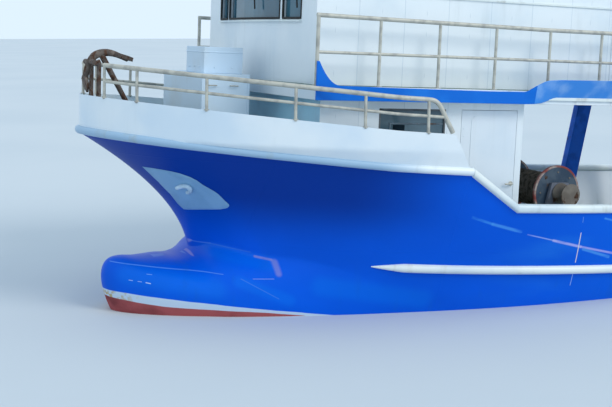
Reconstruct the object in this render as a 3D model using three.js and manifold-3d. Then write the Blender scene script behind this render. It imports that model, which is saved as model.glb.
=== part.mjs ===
// Stern trawler of about nineteen metres with a raked stem over a blunt bulb, floating bow up.
// Lengths are millimetres in the ship's own frame: X forward from midship, Y to port, Z up.
// The outer group turns that frame by the trim, so Z = 0 of the finished part is the water plane.

import * as THREE from 'three';
import { mergeVertices } from 'three/addons/utils/BufferGeometryUtils.js';
import Module from 'manifold-3d';

const wasm = await Module();
wasm.setup();

// Driving dimensions
const TRIM_DEG = 2.5;               // bow up
const GAP = 0.3;                    // between pieces that rest on each other
const GROWN = 0.6;                  // skin clearance of pieces shaped to the hull side
const SWING = 6;                    // clearance round a moving piece
const STERN_X = -9300;
const NOSE_X = 9470;                // tip of the bulb
const STEM_X = 9790;                // stem at the forecastle deck
const STEM_FOOT = { x: 8220, z: 300, rise: 0.5836, power: 1.853 };
const TURN_Z = -350;                // level where the side turns into the bottom
const KEEL_Z = -1470;
const BEAM = { low: 2300, gain: 550, height: 1000 };
const ENTRY = { length: 7000, taper: 0.4, power: 2.6, fullness: 0.62 };
const RUN = { start: -3000, narrowing: 0.12, keelStart: -3000, keelRise: 1070, power: 1.4 };
const DECK = { low: 350, lowX: -1000, fore: 14, aft: 11 };
const BULWARK = { height: 820, wall: 40, foreEnd: 4600 };
const FORE = { aftX: 5360, z: 1745, kneeX: 6400, kneeZ: 1788, sheer: 76, bulwark: 470, wall: 30 };
const CAP = { over: 45, inside: 95, up: 55, down: 65 };
const RUB = { tipX: 6330, fullX: 5900, aftX: -9200, below: 55, half: 60, proud: 60 };
const MOULDING = { half: 54, proud: 56 };
const HAWSE_PLATE = 15;

const FORE_RAIL = { foreX: 9620, aftX: 6050, inset: 60, height: 410, mid: 205, top: 30, tube: 20 };
const UPPER_RAIL = { foreX: 7390, aftX: -1340, spacing: 873, half: 2150, height: 820, mid: 410, tube: 22,
  rise: 40, riseX: 3900 };

const LOWER = { foreX: 7250, aftX: 4150, half: 2000, wall: 40 };
const LOWER_DOOR = { aftX: 4250, foreX: 5150, sill: 560, top: 2500 };
const LOWER_WINDOW = { aftX: 5400, foreX: 6400, sill: 1850, top: 2500 };
const UPPER = { foreX: 7420, aftX: -1600, half: 2200, under: 2600, top: 2780 };
const FASCIA = 30;
const BRIDGE = { foreX: 7300, aftX: 1500, half: 1900, wall: 50, height: 2150, bulge: 120, bulgeHalf: 1450 };
const BRIDGE_WINDOW = { sill: 820, top: 1650, mullion: 60, split: 950 };
const SIDE_WINDOW = { sill: 1270, top: 1800, foreX: 7000, length: 650, spacing: 1050, count: 3 };
const BRIDGE_DOOR = { aftX: 1900, foreX: 2650, sill: 100, top: 1950 };
const GLASS = 12;
const ROOF = { over: 160, visor: 320, thick: 90 };

const LOCKER = { aftX: 7720, foreX: 8390, half: 800, top: 2850 };
const HATCH_BOX = { aftX: 7750, foreX: 8300, y0: -100, y1: 600, height: 350 };
const WINCH = { x: 3000, z: 1270, flange: 400, core: 170, inner: 130, outer: 1350, axle: 45, head: 150 };
const POST = { footX: 360, footZ: 350, headX: -40, y: 1880, length: 300, width: 150 };
const NET = { x: -5200, z: 1420, flange: 800, wound: 640, half: 1250, axle: 50 };
const GANTRY = { x: -8600, half: 2050, top: 5000, post: 220 };
const BOARD = { foreX: -6500, aftX: -8150, height: 1150, thick: 80, y: 2120 };
const COAMING = { aftX: -3100, foreX: -1900, half: 600, height: 450, wall: 50, cover: 60 };
const MAST = { x: 800, foot: 150, head: 70, top: 8300 };
const BOOM = { z: 3900, tipX: -4600, tipZ: 5900, radius: 75 };
const RADAR = { x: 4800, height: 500, bar: 1800 };
const FUNNEL = { foreX: 400, aftX: -500, y0: 900, y1: 1600, height: 1500 };
const RAFT = { x: 2600, y: 0, radius: 300, length: 1200 };
const SCREW = { x: -7480, z: -1380, radius: 480, hub: 100, length: 280, blades: 4 };
const RUDDER = { stockX: -8350, trunkZ: -680, foreX: -8120, aftX: -8780, top: -760, bottom: -1880, thick: 70 };
const SHOE_Z = -1900;

// Finishes: colour, roughness, metalness
const FINISH = {
  hullBlue: [0x0a49c4, 0.35, 0.0],
  white: [0xdfe8ee, 0.45, 0.0],
  deckGreen: [0x55695f, 0.8, 0.0],
  galvanised: [0xb9b8ac, 0.5, 0.6],
  rust: [0x6b4a38, 0.85, 0.3],
  plate: [0x8fb4cf, 0.5, 0.1],
  steel: [0x6f7478, 0.5, 0.7],
  glass: [0x27414f, 0.08, 0.0],
  net: [0x2f6b52, 0.95, 0.0],
  wire: [0x4a4640, 0.7, 0.4],
  bronze: [0xb08a4a, 0.35, 0.9],
};

// Solids and meshes

function solid(geometry) {
  const bare = geometry.clone();
  bare.deleteAttribute('normal');
  bare.deleteAttribute('uv');
  const merged = mergeVertices(bare, 0.01);
  const at = merged.attributes.position;
  const faces = [];
  let volume = 0;
  const corner = [new THREE.Vector3(), new THREE.Vector3(), new THREE.Vector3()];
  for (let i = 0; i < merged.index.count; i += 3) {
    const face = [0, 1, 2].map((k) => merged.index.getX(i + k));
    if (new Set(face).size < 3) continue;
    face.forEach((v, k) => corner[k].fromBufferAttribute(at, v));
    volume += corner[0].dot(corner[1].clone().cross(corner[2]));
    faces.push(...face);
  }
  if (volume < 0) {
    for (let i = 0; i < faces.length; i += 3) [faces[i], faces[i + 1]] = [faces[i + 1], faces[i]];
  }
  const mesh = new wasm.Mesh({
    numProp: 3,
    vertProperties: new Float32Array(at.array),
    triVerts: new Uint32Array(faces),
  });
  return new wasm.Manifold(mesh);
}

function join(...solids) {
  return solids.flat().reduce((whole, part) => whole.add(part));
}

function toGeometry(body) {
  const { vertProperties, triVerts, numProp } = body.getMesh();
  const points = [];
  for (let i = 0; i < vertProperties.length; i += numProp) {
    points.push(vertProperties[i], vertProperties[i + 1], vertProperties[i + 2]);
  }
  const geometry = new THREE.BufferGeometry();
  geometry.setAttribute('position', new THREE.Float32BufferAttribute(points, 3));
  geometry.setIndex([...triVerts]);
  geometry.computeVertexNormals();
  return geometry;
}

function block(x0, x1, y0, y1, z0, z1) {
  const box = new THREE.BoxGeometry(x1 - x0, y1 - y0, z1 - z0);
  return solid(box.translate((x0 + x1) / 2, (y0 + y1) / 2, (z0 + z1) / 2));
}

// Straight bar of round or many-sided section between two points.
function rod(from, to, radius, sides = 8, radiusTo = radius) {
  const a = new THREE.Vector3(...from);
  const b = new THREE.Vector3(...to);
  const along = b.clone().sub(a);
  const bar = new THREE.CylinderGeometry(radiusTo, radius, along.length(), sides);
  const up = new THREE.Vector3(0, 1, 0);
  bar.applyQuaternion(new THREE.Quaternion().setFromUnitVectors(up, along.clone().normalize()));
  const middle = a.add(b).multiplyScalar(0.5);
  return solid(bar.translate(middle.x, middle.y, middle.z));
}

// Round tube along a smooth curve through the given points.
function bentTube(points, radius, steps, sides = 8) {
  const path = new THREE.CatmullRomCurve3(points.map((p) => new THREE.Vector3(...p)));
  const ring = new THREE.Shape();
  for (let k = 0; k < sides; k += 1) {
    const turn = (2 * Math.PI * k) / sides;
    const spot = [radius * Math.cos(turn), radius * Math.sin(turn)];
    if (k === 0) ring.moveTo(...spot);
    else ring.lineTo(...spot);
  }
  ring.closePath();
  return solid(new THREE.ExtrudeGeometry(ring, { steps, extrudePath: path }));
}

// Flat outline in X and Z, extruded across the ship from y0 to y1.
function sidePlate(outline, y0, y1) {
  const shape = new THREE.Shape(outline.map(([x, z]) => new THREE.Vector2(x, z)));
  const plate = new THREE.ExtrudeGeometry(shape, { depth: y1 - y0, bevelEnabled: false });
  plate.rotateX(Math.PI / 2);
  return solid(plate.translate(0, y1, 0));
}

// Flat outline in X and Y, extruded upwards from z0 to z1.
function deckPlate(outline, z0, z1) {
  const shape = new THREE.Shape(outline.map(([x, y]) => new THREE.Vector2(x, y)));
  const plate = new THREE.ExtrudeGeometry(shape, { depth: z1 - z0, bevelEnabled: false });
  return solid(plate.translate(0, 0, z0));
}

// Turned piece on an axle across the ship: profile of [radius, distance along Y].
function turned(profile, x, y, z, segments = 24) {
  const outline = profile.map(([r, along]) => new THREE.Vector2(r, along));
  return solid(new THREE.LatheGeometry(outline, segments).translate(x, y, z));
}

// Skin over loops with equal point counts; each end closes between point k and its mirror point.
function loft(loops) {
  const count = loops[0].length;
  const faces = [];
  const quad = (a, b, c, d) => faces.push(a, b, c, a, c, d);
  for (let i = 0; i + 1 < loops.length; i += 1) {
    for (let k = 0; k < count; k += 1) {
      const next = (k + 1) % count;
      const corners = [i * count + k, i * count + next, (i + 1) * count + next, (i + 1) * count + k];
      if (k + 1 <= count / 2) quad(...corners);
      else quad(corners[1], corners[2], corners[3], corners[0]);
    }
  }
  const last = (loops.length - 1) * count;
  for (let k = 0; k + 1 < count / 2; k += 1) {
    quad(count - 1 - k, count - 2 - k, k + 1, k);
    quad(last + k, last + k + 1, last + count - 2 - k, last + count - 1 - k);
  }
  const geometry = new THREE.BufferGeometry();
  geometry.setAttribute('position', new THREE.Float32BufferAttribute(loops.flat(2), 3));
  geometry.setIndex(faces);
  return solid(geometry);
}

function mirrored(body) {
  return body.mirror([0, 1, 0]);
}

function portHalf(body) {
  return body.trimByPlane([0, 1, 0], GAP / 2);
}

// Hull form

const clamp01 = (value) => Math.min(1, Math.max(0, value));
const blend = (a, b, share) => a + (b - a) * share;

// Main deck at side: straight forward of its lowest point, a rising sheer aft of it.
function mainDeck(x) {
  const away = (x - DECK.lowX) / 1000;
  return DECK.low + (away > 0 ? DECK.fore * away : DECK.aft * away * away);
}

// Forecastle deck at side: a flatter run aft, then the sheer of the bow.
function foreDeck(x) {
  if (x >= FORE.kneeX) return FORE.kneeZ + (FORE.sheer * (x - FORE.kneeX)) / 1000;
  return blend(FORE.z, FORE.kneeZ, clamp01((x - FORE.aftX) / (FORE.kneeX - FORE.aftX)));
}

// Upper edge of the blue side: bulwark cap, the slope up to the forecastle, and its moulding.
function sideTop(x) {
  if (x >= FORE.aftX) return foreDeck(x);
  const cap = mainDeck(Math.min(x, BULWARK.foreEnd)) + BULWARK.height;
  return blend(cap, FORE.z, clamp01((x - BULWARK.foreEnd) / (FORE.aftX - BULWARK.foreEnd)));
}

function stemAt(z) {
  const up = Math.max(0, z - STEM_FOOT.z) / 1000;
  return Math.min(STEM_X, STEM_FOOT.x + 1000 * STEM_FOOT.rise * up ** STEM_FOOT.power);
}

function stemHeight(x) {
  const out = (x - STEM_FOOT.x) / 1000 / STEM_FOOT.rise;
  return STEM_FOOT.z + 1000 * Math.max(0, out) ** (1 / STEM_FOOT.power);
}

// Half-breadth of the raked upper body at station x and height z.
function halfBreadth(x, z) {
  const up = (Math.max(z, TURN_Z) - TURN_Z) / BEAM.height;
  const full = BEAM.low + BEAM.gain * (1 - Math.exp(-up));
  const entry = ENTRY.length - ENTRY.taper * (z - TURN_Z);
  const back = clamp01((stemAt(z) - x) / entry);
  const aft = 1 - RUN.narrowing * Math.max(0, (RUN.start - x) / (RUN.start - STERN_X)) ** 2;
  return full * aft * (1 - (1 - back) ** ENTRY.power) ** ENTRY.fullness;
}

function keelHeight(x) {
  if (x > 5000) return KEEL_Z + 970 * ((x - 5000) / 3200) ** 1.5;
  const run = Math.max(0, (RUN.keelStart - x) / (RUN.keelStart - STERN_X));
  return KEEL_Z + RUN.keelRise * run ** RUN.power;
}

const STATIONS = [-9300, -8300, -7200, -6000, -4700, -3300, -1800, -300, 1200, 2500, 3600, 4600, 5360, 5900,
  6400, 6800, 7200, 7650, 8000, 8150, 8230, 8270, 8330, 8400, 8480, 8700, 8950, 9200, 9420, 9600, 9720, 9790];
const BOTTOM_SHARES = [1, 0.94, 0.78, 0.52, 0.24];
const SIDE_SHARES = [0, 0.14, 0.28, 0.44, 0.62, 0.81, 1];

function bottomHalf(x, share) {
  return halfBreadth(x, TURN_Z) * (1 - share ** 2.4) ** 0.8;
}

// Points up the port side, and their mirror points back down the starboard side.
function closedLoop(port) {
  return [...port, ...port.map(([x, y, z]) => [x, -y, z]).reverse()];
}

// Port side of the hull section at x, from the keel up to the given top.
function portSection(x, top, grow) {
  const port = [];
  const overStem = x > STEM_FOOT.x;
  const foot = overStem ? Math.min(stemHeight(x), top) : TURN_Z;
  const keel = keelHeight(x);
  for (const share of BOTTOM_SHARES) {
    if (overStem) port.push([x, 0, foot]);
    else port.push([x, bottomHalf(x, share) + (share < 1 ? grow : 0), blend(TURN_Z, keel, share)]);
  }
  for (const share of SIDE_SHARES) {
    const z = blend(foot, top, share);
    const half = halfBreadth(x, z);
    port.push([x, half > 1 ? Math.max(0, half + grow) : 0, z]);
  }
  return port;
}

function upperBody(topAt, grow = 0, stations = STATIONS) {
  return loft(stations.map((x) => closedLoop(portSection(x, topAt(x), grow))));
}

// Fore body with the bulb, by sections behind the nose:
// [back, half-breadth, top, widest, keel, squareness of the shoulder]
const BULB = [
  [0, 0, 70, 70, 70, 2.4],
  [30, 120, 222, 40, -130, 2.4],
  [100, 225, 298, 20, -330, 2.4],
  [250, 370, 335, 0, -600, 2.4],
  [500, 575, 322, -30, -850, 2.5],
  [800, 770, 338, -50, -1030, 2.4],
  [1120, 945, 360, -80, -1170, 2.2],
  [1180, 975, 390, -90, -1190, 2.0],
  [1260, 1020, 450, -95, -1210, 1.9],
  [1360, 1075, 560, -100, -1230, 1.9],
  [1850, 1290, 600, -100, -1320, 3.2],
  [2400, 1490, 650, -120, -1380, 5],
  [3000, 1680, 560, -150, -1420, 5],
  [3900, 1850, 200, -250, -1450, 5],
  [4700, 1960, -100, -350, -1460, 5],
];

function foreBody(grow = 0) {
  const loops = BULB.map(([back, half, top, widest, keel, shoulder]) => {
    const port = [];
    const edge = back > 0 ? grow : 0;
    for (const share of [1, 0.93, 0.75, 0.5, 0.25]) {
      const out = half * (1 - share ** 2) ** 0.62;
      port.push([NOSE_X - back, out + (share < 1 ? edge : 0), blend(widest, keel, share)]);
    }
    for (const share of [0, 0.3, 0.55, 0.75, 0.88, 0.96, 1]) {
      const out = half * (1 - share ** shoulder) ** 0.5;
      port.push([NOSE_X - back, out + (share < 1 ? edge : 0), blend(widest, top, share)]);
    }
    return closedLoop(port);
  });
  return loft(loops);
}

// Level of a faceted deck line: straight between the stations.
function facetLevel(levelAt, x) {
  const after = Math.max(1, STATIONS.findIndex((station) => station >= x));
  const [x0, x1] = [STATIONS[after - 1], STATIONS[after]];
  return blend(levelAt(x0), levelAt(x1), (x - x0) / (x1 - x0));
}

// Space above a deck line between two stations, wider than the ship.
function spaceAbove(levelAt, x0, x1, top = 5000) {
  const inside = STATIONS.filter((x) => x > x0 && x < x1);
  return loft([x0, ...inside, x1].map((x) => {
    const z = levelAt(x);
    return [[x, -3500, z], [x, -3500, top], [x, 3500, top], [x, 3500, z]];
  }));
}

const fullSide = upperBody(sideTop);
const aboveMainDeck = spaceAbove((x) => mainDeck(x) + GAP, STERN_X, FORE.aftX - GAP, 9000);
const aboveForeDeck = spaceAbove((x) => foreDeck(x) + GAP, FORE.aftX, STEM_X, 9000);
const onMainDeck = (body) => body.intersect(aboveMainDeck);
const onForeDeck = (body) => body.intersect(aboveForeDeck);
const deckWell = spaceAbove(mainDeck, STERN_X - 100, FORE.aftX);
const skegOutline = [[-7200, -900], [-7200, SHOE_Z], [-2600, SHOE_Z], [-1500, KEEL_Z + 10], [-1500, KEEL_Z + 150]];
const hull = join(
  fullSide.subtract(deckWell),
  foreBody(),
  sidePlate(skegOutline, -60, 60),
  rod([-6900, 0, SCREW.z], [SCREW.x + GAP, 0, SCREW.z], SCREW.hub + 10, 16),
  rod([RUDDER.stockX, 0, -300], [RUDDER.stockX, 0, RUDDER.trunkZ], 90, 16),
);

// Main bulwark: a steel plate between deck and cap, in two sides and the stern.
const bulwarkStations = [STERN_X + BULWARK.wall, ...STATIONS.filter((x) => x > STERN_X && x < 6500)];
const insideBulwark = (grow) => upperBody((x) => sideTop(x) + 300, grow - BULWARK.wall, bulwarkStations);
const bulwarkSpace = spaceAbove((x) => mainDeck(x) + GAP, STERN_X - 100, FORE.aftX - GAP);
const bulwarkShell = fullSide.intersect(bulwarkSpace).subtract(insideBulwark(0));
const sternSplit = STERN_X + BULWARK.wall;
const bulwarkPort = portHalf(bulwarkShell).trimByPlane([1, 0, 0], sternSplit + GAP);
const bulwarkStern = bulwarkShell.trimByPlane([-1, 0, 0], -sternSplit);

// Forecastle bulwark standing on the hull's edge, its after end sloping down.
function foreSection(x, grow, from, to) {
  return [0, 0.5, 1].map((share) => {
    const z = foreDeck(x) + blend(from, to, share);
    const half = halfBreadth(x, z);
    return [x, half > 1 ? half + grow : 0, z];
  });
}

const foreStations = STATIONS.filter((x) => x >= FORE.aftX);

function foreLoft(grow, from, to) {
  const stations = grow < 0 ? foreStations.filter((x) => halfBreadth(x, foreDeck(x)) + grow > 60) : foreStations;
  return loft(stations.map((x) => closedLoop(foreSection(x, grow, from, to))));
}

const foreEndCut = sidePlate([[5200, 1600], [5360, 1600], [5360, 1790], [5425, 1805], [5690, 2225], [5795, 2400],
  [5200, 2400]], -3500, 3500);
const foreShell = foreLoft(0, GAP, FORE.bulwark).subtract(foreLoft(-FORE.wall, -50, 700)).subtract(foreEndCut);

// Bodies a little larger than the hull and its bulwarks, to shape what is fitted over them.
const grownHull = join(upperBody(sideTop, GROWN), foreBody(GROWN));
const grownBow = loft(foreStations.map((x) => closedLoop([...portSection(x, foreDeck(x), GROWN),
  ...foreSection(x, GROWN, GAP, FORE.bulwark).slice(1)]))).translate([GROWN, 0, 0]);
const grownBulwark = upperBody((x) => sideTop(x) + GAP, GROWN).subtract(insideBulwark(-GROWN));

// Bar that follows the ship's side: section points are [outwards, up] from the line of the side.
function sideBar(stations, levelAt, sectionAt) {
  return stations.map((x) => {
    const z = levelAt(x);
    const half = halfBreadth(x, z);
    const slope = (halfBreadth(x + 5, z) - halfBreadth(x - 5, z)) / 10;
    const atStem = half < 1;
    const size = Math.hypot(slope, 1);
    const out = atStem ? [1, 0] : [-slope / size, 1 / size];
    return sectionAt(x).map(([away, up]) => [x + out[0] * away, half + out[1] * away, z + up]);
  });
}

function halfRound(half, proud, inside = -110) {
  return [[inside, -half], [proud * 0.45, -half], [proud * 0.88, -half * 0.55], [proud, 0],
    [proud * 0.88, half * 0.55], [proud * 0.45, half], [inside, half]];
}

const mouldingPort = sideBar(foreStations, foreDeck, () => halfRound(MOULDING.half, MOULDING.proud));
const mouldingStarboard = mouldingPort.slice(0, -1).reverse().map((loop) => loop.map(([x, y, z]) => [x, -y, z]));
const moulding = loft([...mouldingPort, ...mouldingStarboard]).subtract(grownBow)
  .trimByPlane([1, 0, 0], FORE.aftX + 2);

const capStations = [sternSplit + 60, ...STATIONS.filter((x) => x > -9000 && x < FORE.aftX),
  FORE.aftX - GAP];
const capSection = [[-CAP.inside, -CAP.down], [CAP.over * 0.6, -CAP.down], [CAP.over, -CAP.down * 0.5],
  [CAP.over, CAP.up * 0.5], [CAP.over * 0.6, CAP.up], [-CAP.inside, CAP.up]];
const capPort = loft(sideBar(capStations, sideTop, () => capSection)).subtract(grownBulwark)
  .trimByPlane([-1, 0, 0], GAP - FORE.aftX);
const sternTop = facetLevel(sideTop, STERN_X);
const capStern = block(STERN_X - CAP.over, sternSplit + 60 - GAP, -2360, 2360, sternTop - CAP.down, sternTop + CAP.up)
  .subtract(join(grownBulwark.translate([-GROWN, 0, 0]), grownBulwark.translate([GROWN, 0, 0])));

const rubStations = [RUB.aftX, ...STATIONS.filter((x) => x > RUB.aftX && x < RUB.fullX), RUB.fullX, 6100, 6250, RUB.tipX];
const rubRail = loft(sideBar(rubStations, (x) => mainDeck(x) - RUB.below, (x) => {
  const taper = Math.max(0.08, clamp01((RUB.tipX - x) / (RUB.tipX - RUB.fullX)));
  return halfRound(RUB.half * taper, RUB.proud * taper);
})).subtract(grownHull).subtract(grownBulwark);

// Anchor plate in the bow, a leaf-shaped doubling with a welded towing lug.
const leaf = [[9050, 1593], [8800, 1575], [8584, 1516], [8417, 1414], [8280, 1336], [8140, 1219], [8068, 1145],
  [8078, 1095], [8140, 1068], [8308, 1034], [8436, 997], [8631, 1209], [8808, 1379]];
const hawsePlate = join(
  upperBody(sideTop, HAWSE_PLATE).intersect(sidePlate(leaf, 60, 3000)),
  bentTube([[8640, halfBreadth(8640, 1350) + 8, 1350], [8605, halfBreadth(8605, 1395) + 60, 1395],
    [8515, halfBreadth(8515, 1345) + 65, 1345], [8480, halfBreadth(8480, 1262) + 8, 1262]], 26, 6, 6),
).subtract(grownHull);

// Forecastle rail on top of the bulwark.
function foreRail() {
  const footAt = (x) => foreDeck(x) + FORE.bulwark;
  const at = (x, up) => [x, halfBreadth(x, footAt(x)) - FORE_RAIL.inset * (up > 0 ? 0.6 : 0.25), footAt(x) + up];
  const stations = [9620, 9325, 8635, 7675, 6855, FORE_RAIL.aftX];
  const line = [9620, 9450, 9250, 8900, 8500, 8050, 7600, 7200, 6800, 6400, FORE_RAIL.aftX];
  const topEnd = [[5970, 0, -15], [5890, 0, -90], [5705, 0, -390]].map(([x, , up]) => at(x, FORE_RAIL.height + up));
  const top = bentTube([...line.map((x) => at(x, FORE_RAIL.height)), ...topEnd], FORE_RAIL.top, 20, 6);
  const middle = bentTube([...line, 5830].map((x) => at(x, FORE_RAIL.mid)), FORE_RAIL.tube, 14, 4);
  const posts = stations.map((x) => {
    const y = halfBreadth(x, footAt(x)) - FORE.wall / 2;
    return rod([x, y, footAt(x) - 10], at(x, FORE_RAIL.height), FORE_RAIL.tube, 4);
  });
  return join(top, middle, posts).subtract(foreLoft(GROWN, GAP, FORE.bulwark + GAP));
}

// Upper deck rail.
function upperRail() {
  const { foreX, aftX, half, height, mid, tube, spacing, rise, riseX } = UPPER_RAIL;
  const topAt = (x) => UPPER.top + height + rise * clamp01((x - riseX) / (foreX - riseX));
  const parts = [
    rod([foreX + tube, half, topAt(foreX)], [riseX, half, topAt(riseX)], 28, 6),
    rod([riseX + 20, half, topAt(riseX)], [aftX - tube, half, topAt(aftX)], 28, 6),
    rod([foreX, half, UPPER.top + mid], [aftX, half, UPPER.top + mid], tube, 4),
  ];
  for (let x = foreX; x > aftX - 1; x -= spacing) {
    parts.push(rod([x, half, UPPER.top + GAP], [x, half, topAt(x)], tube, 4));
  }
  return join(parts);
}

// Anchor stowed over the stem, and the frame that carries it.
const anchorBody = (grow) => join(
  bentTube([[9700, 0, 2590], [9765, 0, 2830], [9690, 0, 3010], [9520, 0, 3100], [9300, 0, 3050], [9120, 0, 2960]],
    38 + grow, 16, 6),
  rod([9545, 0, 3085], [8990, 0, 2110], 38 + grow),
  rod([9020, -430, 2150], [9020, 430, 2150], 26),
  sidePlate([[9080, 2890], [9280, 3010], [9180, 3100], [9030, 3020]], -110, 110),
  sidePlate([[9670, 2560], [9740, 2560], [9800, 2760], [9740, 2800]], -110, 110),
);
const anchor = anchorBody(0);
const anchorSpace = anchorBody(0.4);
const bowFrame = onForeDeck(join(
  rod([9600, 190, 2000], [9600, 190, 2960], 32),
  rod([9600, -190, 2000], [9600, -190, 2960], 32),
  rod([9670, -240, 2940], [9670, 240, 2940], 38),
  rod([9600, -190, 2900], [9670, -190, 2940], 26),
  rod([9600, 190, 2900], [9670, 190, 2940], 26),
)).subtract(anchorSpace);

// Foredeck locker and its lid
const locker = onForeDeck(block(LOCKER.aftX, LOCKER.foreX, -LOCKER.half, LOCKER.half, FORE.z, LOCKER.top));
const hatchBox = block(HATCH_BOX.aftX, HATCH_BOX.foreX, HATCH_BOX.y0, HATCH_BOX.y1, LOCKER.top + GAP,
  LOCKER.top + HATCH_BOX.height);

// Lower deckhouse: walls only, standing on the main deck and on the forecastle deck.
function lowerHouse() {
  const whole = block(LOWER.aftX, LOWER.foreX, -LOWER.half, LOWER.half, 0, UPPER.under - GAP);
  const outer = whole.intersect(aboveMainDeck.add(aboveForeDeck.translate([-2 * GAP, 0, 0])));
  const { wall, half } = LOWER;
  const inner = block(LOWER.aftX + wall, LOWER.foreX - wall, -half + wall, half - wall, 0, 3000);
  const window = LOWER_WINDOW;
  const door = LOWER_DOOR;
  return outer.subtract(inner)
    .subtract(block(window.aftX, window.foreX, -3000, 3000, window.sill, window.top))
    .subtract(block(door.aftX, door.foreX, -3000, 3000, door.sill, door.top));
}

// Door leaf in a side wall, its hinge barrel at the forward edge of the inner face.
function sideDoor({ aftX, foreX, sill, top }, outside, wall) {
  const hinge = doorHinge(foreX, outside, wall);
  return join(
    block(aftX + SWING, foreX - SWING, outside - wall, outside, sill + SWING, top - SWING),
    rod([hinge.x, hinge.y, sill + GAP], [hinge.x, hinge.y, top - GAP], 14, 12),
  );
}

function doorHinge(foreX, outside, wall) {
  return { x: foreX - 20, y: outside - wall - 5 };
}

// Plan outline of the bridge with its bowed front, inset by the wall where asked.
function bridgePlan(inset) {
  const { foreX, aftX, half, bulge, bulgeHalf } = BRIDGE;
  const front = [];
  for (let k = -4; k <= 4; k += 1) {
    const y = (bulgeHalf * k) / 4;
    front.push([foreX - inset + bulge * (1 - (k / 4) ** 2), y]);
  }
  return [[aftX + inset, -half + inset], [foreX - inset, -half + inset], ...front,
    [foreX - inset, half - inset], [aftX + inset, half - inset]];
}

function bridge() {
  const foot = UPPER.top + GAP;
  const walls = deckPlate(bridgePlan(0), foot, UPPER.top + BRIDGE.height)
    .subtract(deckPlate(bridgePlan(BRIDGE.wall), 0, 9000));
  const cuts = [];
  const { sill, top, mullion, split } = BRIDGE_WINDOW;
  const panes = [[split + mullion / 2, BRIDGE.bulgeHalf], [-split + mullion / 2, split - mullion / 2],
    [-BRIDGE.bulgeHalf, -split - mullion / 2]];
  for (const [y0, y1] of panes) cuts.push(block(7000, 7600, y0, y1, UPPER.top + sill, UPPER.top + top));
  for (let k = 0; k < SIDE_WINDOW.count; k += 1) {
    const foreX = SIDE_WINDOW.foreX - k * SIDE_WINDOW.spacing;
    cuts.push(block(foreX - SIDE_WINDOW.length, foreX, -3000, 3000, UPPER.top + SIDE_WINDOW.sill,
      UPPER.top + SIDE_WINDOW.top));
  }
  cuts.push(block(BRIDGE_DOOR.aftX, BRIDGE_DOOR.foreX, -3000, 3000, UPPER.top + BRIDGE_DOOR.sill,
    UPPER.top + BRIDGE_DOOR.top));
  return cuts.reduce((body, cut) => body.subtract(cut), walls);
}

// Glass stands just inside the wall, behind the mullions.
const glassFront = deckPlate(bridgePlan(BRIDGE.wall + GAP), UPPER.top + BRIDGE_WINDOW.sill - 30,
  UPPER.top + BRIDGE_WINDOW.top + 30)
  .subtract(deckPlate(bridgePlan(BRIDGE.wall + GAP + GLASS), 0, 9000))
  .subtract(block(0, 7200, -3000, 3000, 0, 9000))
  .subtract(block(0, 9000, 1500, 3000, 0, 9000))
  .subtract(block(0, 9000, -3000, -1500, 0, 9000));
const sideGlassAft = SIDE_WINDOW.foreX - (SIDE_WINDOW.count - 1) * SIDE_WINDOW.spacing - SIDE_WINDOW.length;
const glassInner = BRIDGE.half - BRIDGE.wall - GAP;
const glassPort = block(sideGlassAft - 30, SIDE_WINDOW.foreX + 30, glassInner - GLASS, glassInner,
  UPPER.top + SIDE_WINDOW.sill - 30, UPPER.top + SIDE_WINDOW.top + 30);
const lowerGlass = block(LOWER_WINDOW.aftX + GAP, LOWER_WINDOW.foreX - GAP, LOWER.half - 30, LOWER.half - 30 + GLASS,
  LOWER_WINDOW.sill + GAP, LOWER_WINDOW.top - GAP);

function roof() {
  const z = UPPER.top + BRIDGE.height + GAP;
  const { foreX, aftX, half } = BRIDGE;
  const out = half + ROOF.over;
  const outline = [[aftX - ROOF.over, -out], [foreX, -out], [foreX + ROOF.visor, -1500], [foreX + ROOF.visor + 60, 0],
    [foreX + ROOF.visor, 1500], [foreX, out], [aftX - ROOF.over, out]];
  const top = z + ROOF.thick;
  return join(
    deckPlate(outline, z, top),
    rod([RADAR.x, 0, top - 10], [RADAR.x, 0, top + RADAR.height], 110, 12, 80),
    block(RAFT.x - 350, RAFT.x - 250, -300, 300, top - 10, top + 120),
    block(RAFT.x + 250, RAFT.x + 350, -300, 300, top - 10, top + 120),
  );
}

const roofTop = UPPER.top + BRIDGE.height + GAP + ROOF.thick;
const radarFoot = roofTop + RADAR.height + GAP;
const radarScanner = join(
  rod([RADAR.x, 0, radarFoot], [RADAR.x, 0, radarFoot + 90], 60, 12),
  block(RADAR.x - 60, RADAR.x + 60, -RADAR.bar / 2, RADAR.bar / 2, radarFoot + 60, radarFoot + 190),
);
const raftZ = roofTop + 120 + GAP + RAFT.radius;
const lifeRaft = rod([RAFT.x - RAFT.length / 2, 0, raftZ], [RAFT.x + RAFT.length / 2, 0, raftZ], RAFT.radius, 16);

const aftPost = onMainDeck(block(-1400, -1260, 1880, 2020, 0, UPPER.under - GAP));
const upperDeck = block(UPPER.aftX, UPPER.foreX, -UPPER.half, UPPER.half, UPPER.under, UPPER.top);

// Blue fascia with the swept fashion plate forward and a flared band aft: [x, bottom, top, outset of the top]
const FASCIA_ROWS = [
  [7420, 2600, 3080, 0],
  [7395, 2600, 3075, 0],
  [7345, 2600, 2960, 0],
  [7290, 2600, 2885, 0],
  [7210, 2600, 2825, 0],
  [7110, 2600, 2785, 0],
  [4750, 2600, 2760, 0],
  [4270, 2600, 2770, 0],
  [4150, 2605, 2850, 45],
  [4030, 2620, 2925, 110],
  [3820, 2690, 2940, 130],
  [2900, 2700, 2950, 140],
  [-1600, 2700, 2950, 140],
];
const fascia = loft(FASCIA_ROWS.map(([x, bottom, top, outset]) => {
  const y = UPPER.half + GAP;
  return [[x, y, bottom], [x, y + FASCIA, bottom], [x, y + FASCIA + outset, top], [x, y + outset, top]];
}));

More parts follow.
